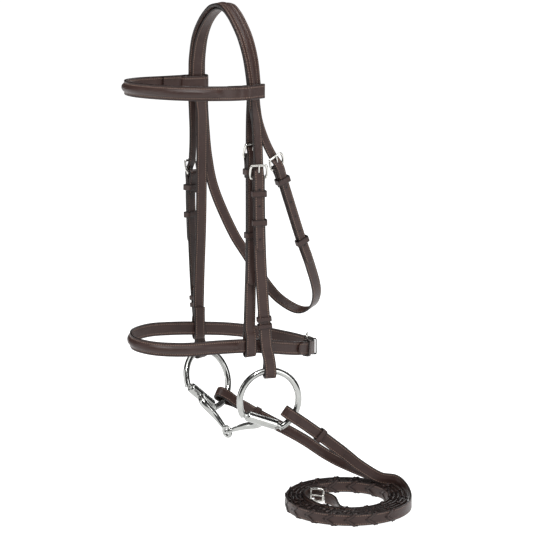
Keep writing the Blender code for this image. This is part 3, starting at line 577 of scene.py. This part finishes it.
# ---------------------------------------------------------------- reins
# Two laced reins, each a strap whose plain end is stitched on to a billet at the bit. Thin laces pass
# through slits along it and over its edges in a V. They lie wound together on edge, and one small
# buckle inside the coil joins their ends.
REIN_WIDE = 16 * MM
REIN_FOLD = 92 * MM
GAP = 0.4 * MM
PLAIN_END = 0.10            # the length at the centre buckle that isn't laced
NEAR_REIN_LINE = (
    (0.0866, 0.1058, -0.5780, -22, 60), (0.0999, 0.1328, -0.6020, -26, 72),
    (0.1089, 0.1495, -0.6178, -30, 80), (0.1216, 0.1745, -0.6355, -30, 88),
)
FAR_REIN_LINE = (
    (-0.0385, 0.0725, -0.5700, -8, 58), (0.0114, 0.1145, -0.5980, -22, 68),
    (0.0402, 0.1384, -0.6180, -28, 78), (0.0604, 0.1624, -0.6330, -30, 88),
)
FLOOR = -0.661
COIL_CENTRE = Vector((0.141, 0.109, 0))
COIL_LIES = FLOOR + REIN_WIDE / 2 + 0.9 * MM
COIL_PITCH = 11.6 * MM      # how far each rein moves inwards in a turn
LACE_WIDE = 4.2 * MM
LACE_THICK = 0.8 * MM
LACE_PITCH = 28 * MM
LACED_FROM = {"near": 0.285, "far": 0.330}      # from each ring
UPRIGHT = Vector((0, 0, 1))
ON_EDGE = width_direction(-30, 88)


def polar(degrees, radius, z):
    angle = math.radians(degrees)
    return COIL_CENTRE + Vector((radius * math.cos(angle), radius * math.sin(angle), z))


def wound(first, last, radius):
    """Points of a winding that turns clockwise, seen from above, from one angle to another."""
    count = round((first - last) / 15)
    steps = [(first - last) * i / count for i in range(count + 1)]
    return [polar(first - a, radius - COIL_PITCH * a / 360, COIL_LIES) for a in steps]


def rein_route(side, below, line, coil):
    """A rein's whole line: from the ring's rod, by its line in the air, and on through the coil."""
    top, centre = RINGS[side][:2]
    wide = CHEEKS[side].frame(CHEEKS[side].long)[2]
    wide = wide if wide.y > 0 else -wide
    level = Vector((wide.x, wide.y, 0)).normalized()
    below = math.radians(below)
    down = (centre - top).normalized()
    rod = centre + (level * math.cos(below) + down * math.sin(below)) * RING_RADIUS
    along_rod = level * math.sin(below) - down * math.cos(below)
    ahead = Vector(line[0][:3]) - rod
    ahead = (ahead - along_rod * ahead.dot(along_rod)).normalized()
    points = [rod, rod + ahead * 0.024] + [Vector(row[:3]) for row in line] + coil
    widths = [along_rod, along_rod] + [width_direction(row[3], row[4]) for row in line]
    return Route(points, widths + [ON_EDGE.lerp(UPRIGHT, min(1, i / 3)) for i in range(len(coil))])


near_coil = [Vector((0.1345, 0.1925, -0.6390)), polar(82, 0.0876, -0.6450), polar(66, 0.0868, -0.6500)]
near_coil += wound(50, -722, 0.0865)
near_coil += [Vector((x, y, COIL_LIES)) for x, y in (
    (0.1975, 0.0915), (0.1885, 0.0810), (0.1760, 0.0775), (0.1610, 0.0825), (0.1440, 0.0900),
    (0.1300, 0.0925), (0.1180, 0.0898))]
far_coil = [polar(115, 0.0835, -0.6435), polar(98, 0.0822, -0.6500)]
far_coil += wound(83, -790, 0.0817)
far_coil += [Vector((x, y, COIL_LIES)) for x, y in (
    (0.1480, 0.0565), (0.1320, 0.0560), (0.1160, 0.0590), (0.1020, 0.0660), (0.0925, 0.0765),
    (0.0890, 0.0880),
    (0.0925, 0.0980), (0.1000, 0.1010), (0.1060, 0.0960), (0.1040, 0.0890), (0.0985, 0.0850))]
REINS = {"near": rein_route("near", 36, NEAR_REIN_LINE, near_coil),
         "far": rein_route("far", 50, FAR_REIN_LINE, far_coil)}
rein_leather = leather("rein_leather", REIN_WIDE, gloss=0.38)
lace_leather = leather("lace_leather", LACE_WIDE, stitch_in=(), gloss=0.33)


def join(first, others):
    """Makes the others part of the first piece."""
    bpy.ops.object.select_all(action="DESELECT")
    for other in others:
        other.select_set(True)
    first.select_set(True)
    bpy.context.view_layer.objects.active = first
    bpy.ops.object.join()
    first.select_set(False)


def lace(route, s, hand):
    """One leg of a V: out of a slit, slantwise over an edge and back to the slit on the other face."""
    lift = STRAP_THICK / 2 + LACE_THICK * 0.55
    edge = REIN_WIDE / 2
    # How far along, how far towards the edge and how far out of the face, in shares of its lift.
    stations = ((-2, 0.02, 0.2), (1, 0.12, 1), (7, 0.55, 1.15), (11, 0.93, 0.95), (12.6, 1.04, 0.45),
                (13, 1.07, 0), (13.4, 1.04, -0.45), (15, 0.93, -0.95), (19, 0.55, -1.15), (25, 0.12, -1),
                (28, 0.02, -0.2))
    places, normals = [], []
    for ahead, across, out in stations:
        place, _, wide, face = route.frame(s + ahead * MM)
        turn = min(1.0, max(-1.0, out))
        places.append(place + wide * across * edge * hand + face * out * lift)
        normals.append((face * turn + wide * hand * (1 - abs(turn))).normalized())
    rows = []
    for i, (place, normal) in enumerate(zip(places, normals)):
        along = (places[min(i + 1, len(places) - 1)] - places[max(i - 1, 0)]).normalized()
        rows.append((place, normal.cross(along).normalized()))
    return strap("lace", rows, LACE_WIDE, lace_leather, thick=LACE_THICK)


RIDGE = ((0.0, 2.6 * MM, 0.5 * MM, 1.0),)
pieces = {}
for side, route in REINS.items():
    rows = run(route, REIN_FOLD + GAP, route.long)
    rein = strap(f"{side}_rein", rows, REIN_WIDE, rein_leather, shapes=RIDGE,
                 amount=lambda u: max(0.0, min(1.0, (0.42 - u) * 20)))
    count = int((route.long - PLAIN_END - LACED_FROM[side]) / LACE_PITCH)
    starts = [LACED_FROM[side] + i * LACE_PITCH for i in range(count)]
    join(rein, [lace(route, start, hand) for start in starts for hand in (1, -1)])
    pieces[side] = rein

place = Matrix.Translation(Vector((0.113, 0.088, FLOOR + 0.0105)))
on_edge = Matrix(((0, 1, 0), (0, 0, 1), (1, 0, 0))).to_4x4()
centre = place @ Matrix.Rotation(math.radians(200), 4, "Z") @ on_edge
centre_buckle = buckle("rein_buckle", "root", centre, REIN_WIDE - 4.6 * MM)
centre_tongue = tongue("rein_buckle_tongue", "rein_buckle_tongue", centre)
for side, line, nodes in (("near", NEAR_REIN_LINE, ("near_rein_run", "rein_coil")),
                          ("far", FAR_REIN_LINE, ("far_rein_run",))):
    route, rein = REINS[side], pieces[side]
    start = REIN_FOLD + GAP
    points = [tuple(route.sample(start + (route.long - start) * i / 110)[0]) for i in range(111)]
    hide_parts(*nodes)
    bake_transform(rein)


# ---------------------------------------------------------------- rein billets
# Each rein is held to its ring by a folded end, hooked shut by a stud on its inner side and kept by a
# sewn loop of leather round both layers.
def rounded(half_x, half_y, radius, steps=4):
    """A closed rectangle with round corners."""
    points = []
    for i in range(4):
        cx = (half_x - radius) * (1 if i in (0, 3) else -1)
        cy = (half_y - radius) * (1 if i in (0, 1) else -1)
        for j in range(steps + 1):
            angle = math.radians(90 * i + 90 * j / steps)
            points.append((cx + radius * math.cos(angle), cy + radius * math.sin(angle)))
    return points + points[:1]


KEEPER_TALL = 8 * MM
KEEPER_THICK = 1.5 * MM
keeper_leather = leather("keeper_leather", KEEPER_TALL, stitch_in=(), gloss=0.36)


def keeper(node, body, route, s, inside, low, high, tall=KEEPER_TALL, room=GAP):
    """A band round a strap's layers, whose middles lie from low to high out of the route."""
    half_x = inside / 2 + GAP + KEEPER_THICK / 2
    half_y = (high - low + STRAP_THICK) / 2 + room + KEEPER_THICK / 2
    matrix = route.matrix(s, (low + high) / 2)
    along = matrix.to_3x3() @ Vector((0, 1, 0))
    rows = [(matrix @ Vector((x, 0, y)), along) for x, y in rounded(half_x, half_y, 1.5 * MM)]
    band = strap(f"{node}_band", rows, tall, keeper_leather, thick=KEEPER_THICK, closed=True)
    return fit(band, body, node, node)


def stud(node):
    """The studs keep their shape, and take the buckles' plate."""
    for material_slot in bpy.data.objects[node].material_slots:
        material_slot.material = NICKEL


REIN_SLACK = 8 * MM         # how far a rein's fold lies past the middle of the ring's rod
LOOP_RADIUS = RING_ROD + 1 * MM + STRAP_THICK / 2
billet_leather = leather("rein_billet_leather", REIN_WIDE, gloss=0.38)
for side in ("near", "far"):
    route = REINS[side]
    layer = LAYER / 2
    rows = run(route, REIN_FOLD, 18 * MM, -layer)
    rows += path(route, (11 * MM, -layer - 1.2 * MM), (4 * MM, -layer - 3.8 * MM))
    rows += arc(route, -REIN_SLACK, 0, LOOP_RADIUS, 270, 90, 12)
    rows += path(route, (4 * MM, layer + 3.8 * MM), (11 * MM, layer + 1.2 * MM))
    rows += run(route, 18 * MM, REIN_FOLD, layer)
    folded = strap(f"{side}_rein_fold", rows, REIN_WIDE, billet_leather)
    fit(folded, f"{side}_ring", f"{side}_rein_billet", f"{side}_rein_billet")
    stud(f"{side}_rein_hook_stud")
    keeper(f"{side}_rein_keeper", f"{side}_rein_keeper", route, 50 * MM, REIN_WIDE, -layer, layer,
           room=1.2 * MM)


# ---------------------------------------------------------------- headpiece
# One wide strap over the poll, padded and sewn along its length. It is split at each side into a cheek
# billet, and at the near side into a throatlatch billet, each punched with holes and cut to a point.
CROWN_LINE = (
    (0.0835, 0.001, -0.115, 200, 0), (0.0830, 0, -0.101, 200, 0), (0.0805, 0, -0.085, 198, 0),
    (0.0725, 0, -0.058, 190, 0), (0.0575, 0, -0.0315, 184, 0), (0.0355, 0, -0.0090, 180, 0),
    (0.0175, 0, 0.0030, 180, 0), (0.0062, 0, 0.0062, 180, 0), (-0.0062, 0, 0.0062, 180, 0),
    (-0.0240, 0, 0.0010, 180, 0), (-0.0480, 0, -0.0160, 180, 0), (-0.0655, 0, -0.0390, 172, 0),
    (-0.0740, 0, -0.0670, 166, 0), (-0.0755, 0, -0.0870, 162, 0), (-0.0758, 0, -0.101, 160, 0),
    (-0.0765, 0.001, -0.115, 160, 0),
)
THROAT_LINE = (
    (0.0810, 0.0035, -0.0970, 20, 0), (0.0808, 0.0050, -0.1190, 20, 0), (0.0802, 0.0095, -0.1430, 14, 6),
    (0.0786, 0.0215, -0.1720, 4, 16), (0.0755, 0.0400, -0.2025, 0, 22), (0.0720, 0.0550, -0.2390, 0, 24),
    (0.0660, 0.0800, -0.3010, 0, 27), (0.0580, 0.1000, -0.3410, 0, 27), (0.0400, 0.1220, -0.3830, 0, 27),
    (0.0150, 0.1310, -0.4100, 0, 27), (-0.0100, 0.1255, -0.4200, 0, 27), (-0.0300, 0.1100, -0.4100, 0, 27),
    (-0.0450, 0.0950, -0.3900, 0, 27), (-0.0600, 0.0665, -0.3410, 0, 27), (-0.0660, 0.0480, -0.3080, 0, 24),
    (-0.0720, 0.0245, -0.2510, 0, 16), (-0.0755, 0.0155, -0.2040, 0, 10), (-0.0760, 0.0110, -0.1540, 0, 8),
    (-0.0740, 0.0075, -0.1175, -16, 0),
)
CROWN_WIDE = 23 * MM
CROWN_THICK = 5.6 * MM
BILLET_WIDE = 13 * MM
THROAT_WIDE = 15 * MM
THROAT_BILLET_WIDE = 12 * MM
HOLE_PITCH = 22 * MM
crown, throat = route_of(CROWN_LINE), route_of(THROAT_LINE)
# Each side's heights of the buckle, the billet's tip and the runner keeper.
CHEEK_HEIGHTS = {"near": (-0.214, -0.31, -0.272), "far": (-0.227, -0.326, -0.285)}
THROAT_BUCKLE = throat.at_height(-0.2025)


def billet_rows(route, s_buckle, s_tip, down=0.0):
    """Along a billet's route, behind its buckle's top bar, over the heel bar and on to its tip."""
    stations = ((26, 0), (17, 0.1), (12, 1.6), (6, 3.9), (0, 5.2), (-5, 4.7), (-10, 3.8))
    rows = run(route, down, s_buckle - 34 * MM)
    rows += path(route, *((s_buckle - a * MM, out * MM) for a, out in stations))
    return rows + run(route, s_buckle + 18 * MM, s_tip, LAYER)


crown_leather = leather("crown_leather", CROWN_WIDE, stitch_in=(2.2 * MM, 6.6 * MM))
crown_strap = strap("crown_strap", run(crown, 3 * MM, crown.long - 3 * MM), CROWN_WIDE, crown_leather,
                    thick=CROWN_THICK * 0.80, tip=9 * MM, tip_start=9 * MM,
                    shapes=((0.0, 4.6 * MM, 1.5 * MM, 0.7), (-7.6 * MM, 2.2 * MM, 0.4 * MM, 1.0),
                            (7.6 * MM, 2.2 * MM, 0.4 * MM, 1.0)))
fit(crown_strap, "root", "headpiece", "headpiece")
for side in ("near", "far"):
    buckle_at, tip_at, _ = (CHEEKS[side].at_height(z) for z in CHEEK_HEIGHTS[side])
    punched = leather(f"{side}_billet_leather", BILLET_WIDE, stitch_in=(2.0 * MM,),
                      holes=(tip_at - 103 * MM, HOLE_PITCH, 5))
    billet = strap(f"{side}_cheek_billet", billet_rows(CHEEKS[side], buckle_at, tip_at), BILLET_WIDE, punched,
                   tip=11 * MM)
    fit(billet, "root", "headpiece")
throat_tip = throat.at_height(-0.338)
punched = leather("throat_billet_leather", THROAT_BILLET_WIDE, stitch_in=(2.0 * MM,),
                  holes=(throat_tip - 118 * MM, HOLE_PITCH, 5))
rows = billet_rows(throat, THROAT_BUCKLE, throat_tip)
billet = strap("near_throat_billet", rows, THROAT_BILLET_WIDE, punched, tip=11 * MM)
fit(billet, "root", "headpiece")


# ---------------------------------------------------------------- cheekpieces
# Each is folded round its buckle's bar at the top, and at the foot round the bit's ring and back up its
# own inside to a hook stud, where two sewn loops hold it.
CHEEK_WIDE = 16 * MM
CHEEK_SLACK = 2.8 * MM      # how far its bend lies past the middle of the ring's rod
cheek_leather = leather("cheek_leather", CHEEK_WIDE)


def buckle_fold(route, s):
    """A strap's end from its sewn inner end, round a buckle's heel bar at s, to its outside."""
    radius = WIRE + 0.3 * MM + STRAP_THICK / 2
    rows = run(route, s + 28 * MM, s + 13 * MM, -LAYER)
    rows += path(route, (s + 8 * MM, -LAYER - 0.5 * MM), (s + 4 * MM, -LAYER - 1.3 * MM))
    rows += arc(route, s, -LAYER / 2, radius, 270, 90, 8)
    return rows + path(route, (s + 4 * MM, 1.3 * MM), (s + 8 * MM, 0.5 * MM), (s + 13 * MM, 0))


for side in ("near", "far"):
    route = CHEEKS[side]
    s_buckle, _, s_runner = (route.at_height(z) for z in CHEEK_HEIGHTS[side])
    s_rod = route.long
    rows = buckle_fold(route, s_buckle) + run(route, s_buckle + 26 * MM, s_rod - 18 * MM)
    bar = -LAYER / 2
    rows += path(route, (s_rod - 11 * MM, 1.2 * MM), (s_rod - 4 * MM, 3.8 * MM))
    rows += arc(route, s_rod + CHEEK_SLACK, bar, LOOP_RADIUS, 90, -90, 12)
    rows += path(route, (s_rod - 4 * MM, -LAYER - 3.8 * MM), (s_rod - 11 * MM, -LAYER - 1.2 * MM))
    rows += run(route, s_rod - 18 * MM, s_rod - 92 * MM, -LAYER)
    piece = strap(f"{side}_cheek_strap", rows, CHEEK_WIDE, cheek_leather, tip=10 * MM)
    fit(piece, "root", f"{side}_cheekpiece", f"{side}_cheekpiece")
    buckle(f"{side}_cheek_buckle", "root", route.matrix(s_buckle), CHEEK_WIDE)
    tongue(f"{side}_cheek_tongue", f"{side}_cheek_tongue", route.matrix(s_buckle))
    keeper(f"{side}_cheek_fixed_keeper", "root", route, s_buckle + 20 * MM, CHEEK_WIDE, -LAYER, LAYER)
    runner = f"{side}_cheek_runner_keeper"
    keeper(runner, runner, route, s_runner, CHEEK_WIDE, 0, LAYER)
    stud(f"{side}_cheek_hook_stud")
    for where, up in (("upper", 76), ("lower", 66)):
        keeper(f"{side}_cheek_{where}_inner_keeper", "root", route, s_rod - up * MM, CHEEK_WIDE, -LAYER, 0,
               tall=6 * MM)


# ---------------------------------------------------------------- throatlatch
# A strap that hangs from the far side, round behind the cheeks and up to its buckle at the near side.
throat_leather = leather("throat_leather", THROAT_WIDE, gloss=0.38)
rows = buckle_fold(throat, THROAT_BUCKLE) + run(throat, THROAT_BUCKLE + 26 * MM, throat.long)
latch = strap("throatlatch_strap", rows, THROAT_WIDE, throat_leather)
fit(latch, "root", "throatlatch", "throatlatch")
buckle("throat_buckle", "root", throat.matrix(THROAT_BUCKLE), THROAT_WIDE)
tongue("throat_tongue", "throat_tongue", throat.matrix(THROAT_BUCKLE))
keeper("throat_fixed_keeper", "root", throat, THROAT_BUCKLE + 20 * MM, THROAT_WIDE, -LAYER, LAYER)
keeper("throat_runner_keeper", "throat_runner_keeper", throat, throat.at_height(-0.306), THROAT_WIDE, 0,
       LAYER)


# ---------------------------------------------------------------- browband
# A band across the forehead, with a padded roll sewn along its middle. Each end is folded back and
# sewn down as a loop that the headpiece runs through.
BAND_WIDE = 19 * MM
BROWBAND_Z = -0.1010
BROWBAND_LINE = (
    (0.0905, -0.0230, -0.1010), (0.0915, -0.0420, -0.1005), (0.0850, -0.0760, -0.0995),
    (0.0610, -0.1080, -0.0990), (0.0180, -0.1290, -0.0990), (-0.0180, -0.1320, -0.0990),
    (-0.0500, -0.1190, -0.0992), (-0.0730, -0.0880, -0.1000), (-0.0830, -0.0490, -0.1010),
    (-0.0840, -0.0240, -0.1010),
)
DOWN = Vector((0, 0, -1))


def loop_round(s):
    """Points round the headpiece and the strap under it, from inside the front edge to outside it."""
    place, _, wide, face = crown.frame(s)
    outer, inner = 6.4 * MM, -10.4 * MM
    stations = ((-19, inner + 1.6 * MM), (-10, inner), (10, inner), (13.4, inner + 3 * MM),
                (14.4, -2 * MM), (13.4, outer - 2.2 * MM), (11, outer), (-10, outer), (-17, outer - 0.4 * MM))
    level = Vector((0, 0, BROWBAND_Z - place.z))
    return [place + level - wide * w * MM + face * n for w, n in stations]


front = [Vector(row) for row in BROWBAND_LINE]
places = list(reversed(crown.places[::PARTS]))
turned = Route([p for p, _ in places], [w for _, w in places])
near_loop = loop_round(crown.at_height(BROWBAND_Z))
far_loop = loop_round(crown.long - turned.at_height(BROWBAND_Z))
inner_near = [front[1] + Vector((-3.4, -0.2, 0)) * MM, front[0] + Vector((-3.4, 0.2, 0)) * MM]
inner_far = [front[-1] + Vector((3.4, 0.2, 0)) * MM, front[-2] + Vector((3.4, -0.2, 0)) * MM]
points = inner_near + near_loop + front + list(reversed(far_loop)) + inner_far
brow = Route(points, [DOWN] * len(points))
roll_from = brow.lengths[PARTS * (2 + len(near_loop))] + 26 * MM
roll_to = brow.lengths[PARTS * (1 + len(near_loop) + len(front))] - 26 * MM
band_leather = leather("band_leather", BAND_WIDE, stitch_in=(3.4 * MM,), gloss=0.38)


def roll_between(start, end, long):
    """How far a roll stands up along its band: full in the middle, run out at both ends."""
    def height(u):
        t = min(u * long - start, end - u * long) / (10 * MM)
        return max(0.0, min(1.0, t))
    return height


ROLL = ((0.0, 5.2 * MM, 3.6 * MM, 0.55),)
band = strap("brow_strap", run(brow, 0, brow.long), BAND_WIDE, band_leather, shapes=ROLL,
             amount=roll_between(roll_from, roll_to, brow.long))
fit(band, "browband", "browband", "browband", "browband_roll")


# ---------------------------------------------------------------- noseband and hanger
# The noseband is one padded band buckled behind the jaw. A hanger over the poll, under the headpiece,
# holds it up on both sides and buckles at the near side to a short cheek strap.
NOSEBAND_LINE = (
    (0.0100, 0.1275, -0.4650), (0.0350, 0.1160, -0.4630), (0.0530, 0.0820, -0.4570),
    (0.0605, 0.0370, -0.4480), (0.0640, 0.0030, -0.4420), (0.0615, -0.0430, -0.4390),
    (0.0520, -0.0870, -0.4390), (0.0330, -0.1230, -0.4370), (0.0000, -0.1370, -0.4350),
    (-0.0330, -0.1230, -0.4330), (-0.0520, -0.0890, -0.4330), (-0.0610, -0.0480, -0.4370),
    (-0.0640, -0.0060, -0.4420), (-0.0615, 0.0400, -0.4480), (-0.0530, 0.0830, -0.4560),
    (-0.0350, 0.1150, -0.4630), (-0.0100, 0.1275, -0.4650),
)
nose = Route([Vector(p) for p in NOSEBAND_LINE], [DOWN] * len(NOSEBAND_LINE), closed=True)
rows = buckle_fold(nose, 0.0) + billet_rows(nose, nose.long, nose.long + 66 * MM, down=26 * MM)
folded = 34 * MM             # the fold's length before the band's own start
total = nose.long + folded + 66 * MM
near_side, far_side = nose.lengths[4 * PARTS], nose.lengths[12 * PARTS]
nose_roll = roll_between(near_side + 15 * MM + folded, far_side - 15 * MM + folded, total)
nose_leather = leather("noseband_leather", BAND_WIDE, stitch_in=(3.4 * MM,), gloss=0.38)
piece = strap("nose_strap", rows, BAND_WIDE, nose_leather, shapes=ROLL, amount=nose_roll, tip=13 * MM)
fit(piece, "root", "noseband", "noseband", "noseband_roll")
buckle("chin_buckle", "root", nose.matrix(0.0), BAND_WIDE)
tongue("chin_tongue", "chin_tongue", nose.matrix(0.0))
keeper("chin_fixed_keeper", "root", nose, 18 * MM, BAND_WIDE, -LAYER, LAYER, tall=6 * MM, room=1.3 * MM)
keeper("chin_runner_keeper", "chin_runner_keeper", nose, 44 * MM, BAND_WIDE, 0, LAYER, tall=6 * MM,
       room=0.8 * MM)

NEAR_HANGER_LINE = (
    (0.0640, 0.003, -0.4630, 180, 0), (0.0642, 0.003, -0.4290, 180, 0), (0.0655, 0.0035, -0.3690, 180, 0),
    (0.0665, 0.004, -0.2890, 180, 0), (0.0670, 0.004, -0.1890, 180, 0), (0.0705, 0.002, -0.1390, 188, 0),
)
FAR_HANGER_LINE = (
    (-0.0690, 0.004, -0.1390, 170, 0), (-0.0690, 0.0035, -0.1890, 180, 0),
    (-0.0685, 0.0015, -0.2890, 180, 0), (-0.0665, -0.003, -0.3690, 180, 0),
    (-0.0642, -0.006, -0.4290, 180, 0), (-0.0640, -0.006, -0.4630, 180, 0),
)
HANGER_WIDE = 16 * MM
NOSEBAND_SIDE_Z = -0.442
HANGER_BUCKLE_DOWN = 0.187
HANGER_TIP_DOWN = 0.358


def hanger_loop(route, s_band, direction):
    """A hanger's foot: down outside the noseband, under it and up its inside."""
    out = 3.9 * MM
    stations = ((-26, 0), (-20, 1.3 * MM), (-14, out), (0, out), (9, out), (12.5, out - 1.2 * MM),
                (13.8, 0), (12.5, 1.2 * MM - out), (9, -out), (0, -out), (-14, -out),
                (-22, -LAYER - 0.1 * MM), (-30, -LAYER))
    return path(route, *((s_band + direction * a * MM, n) for a, n in stations))


under = (CROWN_THICK + STRAP_THICK) / 2 + 0.8 * MM
over = [crown.place(crown.long * i / 22, -under) for i in range(1, 22)]
near_end, far_end = ([(Vector(row[:3]), width_direction(row[3], row[4])) for row in line]
                     for line in (NEAR_HANGER_LINE, FAR_HANGER_LINE))
whole = list(reversed(near_end + over + far_end))
hang = Route([p for p, _ in whole], [-w for _, w in whole])
s_far = hang.at_height(NOSEBAND_SIDE_Z)
s_near = hang.long - (NOSEBAND_SIDE_Z - whole[-1][0].z)
s_buckle = s_near + NOSEBAND_SIDE_Z + HANGER_BUCKLE_DOWN
s_tip = s_near + NOSEBAND_SIDE_Z + HANGER_TIP_DOWN
hanger_leather = leather("hanger_leather", HANGER_WIDE)
rows = list(reversed(hanger_loop(hang, s_far, -1)))
rows += billet_rows(hang, s_buckle, s_tip, down=s_far + 32 * MM)
fit(strap("hanger_strap", rows, HANGER_WIDE, hanger_leather, tip=10 * MM), "root", "noseband_hanger",
    "noseband_hanger")
rows = buckle_fold(hang, s_buckle) + run(hang, s_buckle + 26 * MM, s_near - 32 * MM)
rows += hanger_loop(hang, s_near, 1)
fit(strap("noseband_cheek_strap", rows, HANGER_WIDE, hanger_leather), "root", "noseband_cheek",
    "noseband_cheek")
buckle("hanger_buckle", "root", hang.matrix(s_buckle), HANGER_WIDE)
tongue("hanger_tongue", "hanger_tongue", hang.matrix(s_buckle))
keeper("hanger_fixed_keeper", "root", hang, s_buckle + 20 * MM, HANGER_WIDE, -LAYER, LAYER)
keeper("hanger_runner_keeper", "hanger_runner_keeper", hang, s_buckle + 104 * MM, HANGER_WIDE, 0,
       LAYER)


# ---------------------------------------------------------------- bit
# An eggbutt snaffle in polished stainless steel: two rings, and a mouthpiece in two arms whose eyes link
# in the middle. Each arm is forged in one with the barrel that its ring turns in.
STEEL = metal("polished_steel", (0.44, 0.445, 0.43), (0.28, 0.285, 0.275), 0.17, 0.05)
BARREL_LONG = 46 * MM
BARREL_RADIUS = 7.2 * MM
EYE_RADIUS = 6.6 * MM
EYE_ROD = 2.6 * MM
BIT_JOINT = Vector((0.0, 0.0060, -0.5760))
ARM_GRAIN = 0.5 * MM


def bit_ring(side):
    """A round rod with one straight side, which turns in its arm's barrel."""
    _, centre, middle, along = RINGS[side]
    half = math.acos(CHORD / RING_RADIUS)
    count = 60
    angles = [half + 0.12 + (2 * math.pi - 2 * half - 0.24) * i / count for i in range(count + 1)]
    points = [centre + (middle * math.cos(a) + along * math.sin(a)) * RING_RADIUS for a in angles]
    straight = RING_RADIUS * math.sin(half)
    for offset in (-straight + 1 * MM, -straight + 4 * MM, straight - 4 * MM, straight - 1 * MM):
        out = 1 * MM if abs(offset) > straight - 2 * MM else 0
        points.append(centre + middle * (CHORD + out) + along * offset)
    ring = wire(f"{side}_ring_rod", points, RING_ROD * 1.1, STEEL, closed=True, parts=3, sides=7)
    fit(ring, f"{side}_ring", f"{side}_bit_ring", f"{side}_bit_ring")


def bit_arm(side, barrel, along, eye, eye_axis):
    """Barrel, tapered arm and eye, run together as one forging."""
    toward = eye - barrel
    square = (toward - along * toward.dot(along)).normalized()
    back = -toward.normalized()
    neck = eye + back * EYE_RADIUS
    line = [barrel, barrel + square * 18 * MM, barrel.lerp(neck, 0.62) + square * 1.5 * MM, neck]
    shape = Route(line, [along] * len(line))
    radii = [6.2, 6.1, 5.9, 5.6, 5.2, 4.8, 4.3, 3.8, 3.2]
    points = [shape.sample(shape.long * i / (len(radii) - 1))[0] for i in range(len(radii))]
    arm = wire(f"{side}_arm", points, MM, STEEL, radii=radii, sides=7)
    half = BARREL_LONG / 2
    shoulder = ((half, 5.4), (half - 1 * MM, 6.6), (half - 3 * MM, BARREL_RADIUS / MM))
    profile = [(-x, radius) for x, radius in shoulder]
    profile += [(-half * 0.4, BARREL_RADIUS / MM), (half * 0.4, BARREL_RADIUS / MM)]
    profile += list(reversed(shoulder))
    spindle = [barrel + along * x for x, _ in profile]
    body = wire(f"{side}_barrel", spindle, MM, STEEL, radii=[r for _, r in profile], sides=9)
    side_of = eye_axis.orthogonal().normalized()
    other = eye_axis.cross(side_of)
    loop = [eye + (side_of * math.cos(math.tau * i / 24) + other * math.sin(math.tau * i / 24)) * EYE_RADIUS
            for i in range(24)]
    ring = wire(f"{side}_eye", loop, EYE_ROD, STEEL, closed=True, parts=2, sides=6)
    join(arm, [body, ring])
    for kind, settings in (("REMESH", {"mode": "VOXEL", "voxel_size": ARM_GRAIN}),
                           ("SMOOTH", {"factor": 0.5, "iterations": 8})):
        modifier = arm.modifiers.new(kind.lower(), kind)
        for key, value in settings.items():
            setattr(modifier, key, value)
        bpy.ops.object.select_all(action="DESELECT")
        bpy.context.view_layer.objects.active = arm
        arm.select_set(True)
        bpy.ops.object.modifier_apply(modifier=modifier.name)
    bpy.ops.object.shade_smooth()
    arm.select_set(False)
    arm.data.materials.clear()
    arm.data.materials.append(STEEL)
    fit(arm, f"{side}_arm", f"{side}_bit_arm", f"{side}_bit_arm")


barrels = {side: (RINGS[side][1] + RINGS[side][2] * CHORD, RINGS[side][3]) for side in RINGS}
ways = {side: (barrels[side][0] - BIT_JOINT).normalized() for side in barrels}
far_axis = ways["far"].cross(ways["near"]).normalized()
apart = ways["near"] * EYE_RADIUS / 2
bit_ring("near")
bit_ring("far")
bit_arm("near", *barrels["near"], BIT_JOINT + apart, ways["near"].cross(far_axis))
bit_arm("far", *barrels["far"], BIT_JOINT - apart, far_axis)


# ---------------------------------------------------------------- floor and light
# A plain white floor that runs into a white room, lit softly from above, the sides, the front and the
# rear. The steel mirrors a darker room with two pale bands.
floor_white, _, floor_shader, _ = new_material("floor_white")
floor_shader.inputs["Base Color"].default_value = (0.45, 0.45, 0.45, 1)
floor_shader.inputs["Roughness"].default_value = 0.9
floor_shader.inputs["Emission Color"].default_value = (1, 1, 1, 1)
floor_shader.inputs["Emission Strength"].default_value = 1.0
bpy.ops.object.select_all(action="DESELECT")
bpy.ops.mesh.primitive_plane_add(size=40, location=(0, 0, FLOOR - 0.3 * MM))
floor = bpy.context.object
floor.name = "floor"
floor.data.materials.append(floor_white)


def panel(name, place, width, height, power):
    """A soft box that faces the bridle."""
    light = bpy.data.lights.new(name, "AREA")
    light.shape = "RECTANGLE"
    light.size, light.size_y, light.energy = width, height, power
    obj = bpy.data.objects.new(name, light)
    bpy.context.scene.collection.objects.link(obj)
    obj.location = place
    obj.rotation_mode = "QUATERNION"
    obj.rotation_quaternion = (AIM - Vector(place)).to_track_quat("-Z", "Y")


panel("overhead", (0.3, -0.3, 1.9), 1.8, 1.8, 32)
panel("near_side", (2.2, 0.5, 0.3), 0.8, 1.8, 22)
panel("front_side", (-0.6, -2.3, 0.2), 0.9, 1.8, 15)
panel("key", (1.2, -1.0, 1.9), 0.3, 0.3, 46)
panel("rear", (-1.2, 2.2, 0.8), 0.9, 1.4, 16)
world = bpy.data.worlds.new("white_room")
world.use_nodes = True
room = world.node_tree
sky = Value(room, room.nodes.new("ShaderNodeTexCoord").outputs["Generated"])
height = Value(room, sky.node("ShaderNodeSeparateXYZ", {}, Vector=sky).outputs[2])
seen = Value(room, room.nodes.new("ShaderNodeLightPath").outputs["Is Camera Ray"])
walls = height.near(0.42, 0.10, 0.12) * 0.12 + height.maths("GREATER_THAN", height, 0.80) * 0.10 + 0.02
glow = sky.maths("MAXIMUM", seen, walls)
room.nodes["Background"].inputs["Color"].default_value = (1, 1, 1, 1)
room.links.new(glow.socket, room.nodes["Background"].inputs["Strength"])
bpy.context.scene.world = world
bpy.context.scene.view_settings.view_transform = "Standard"
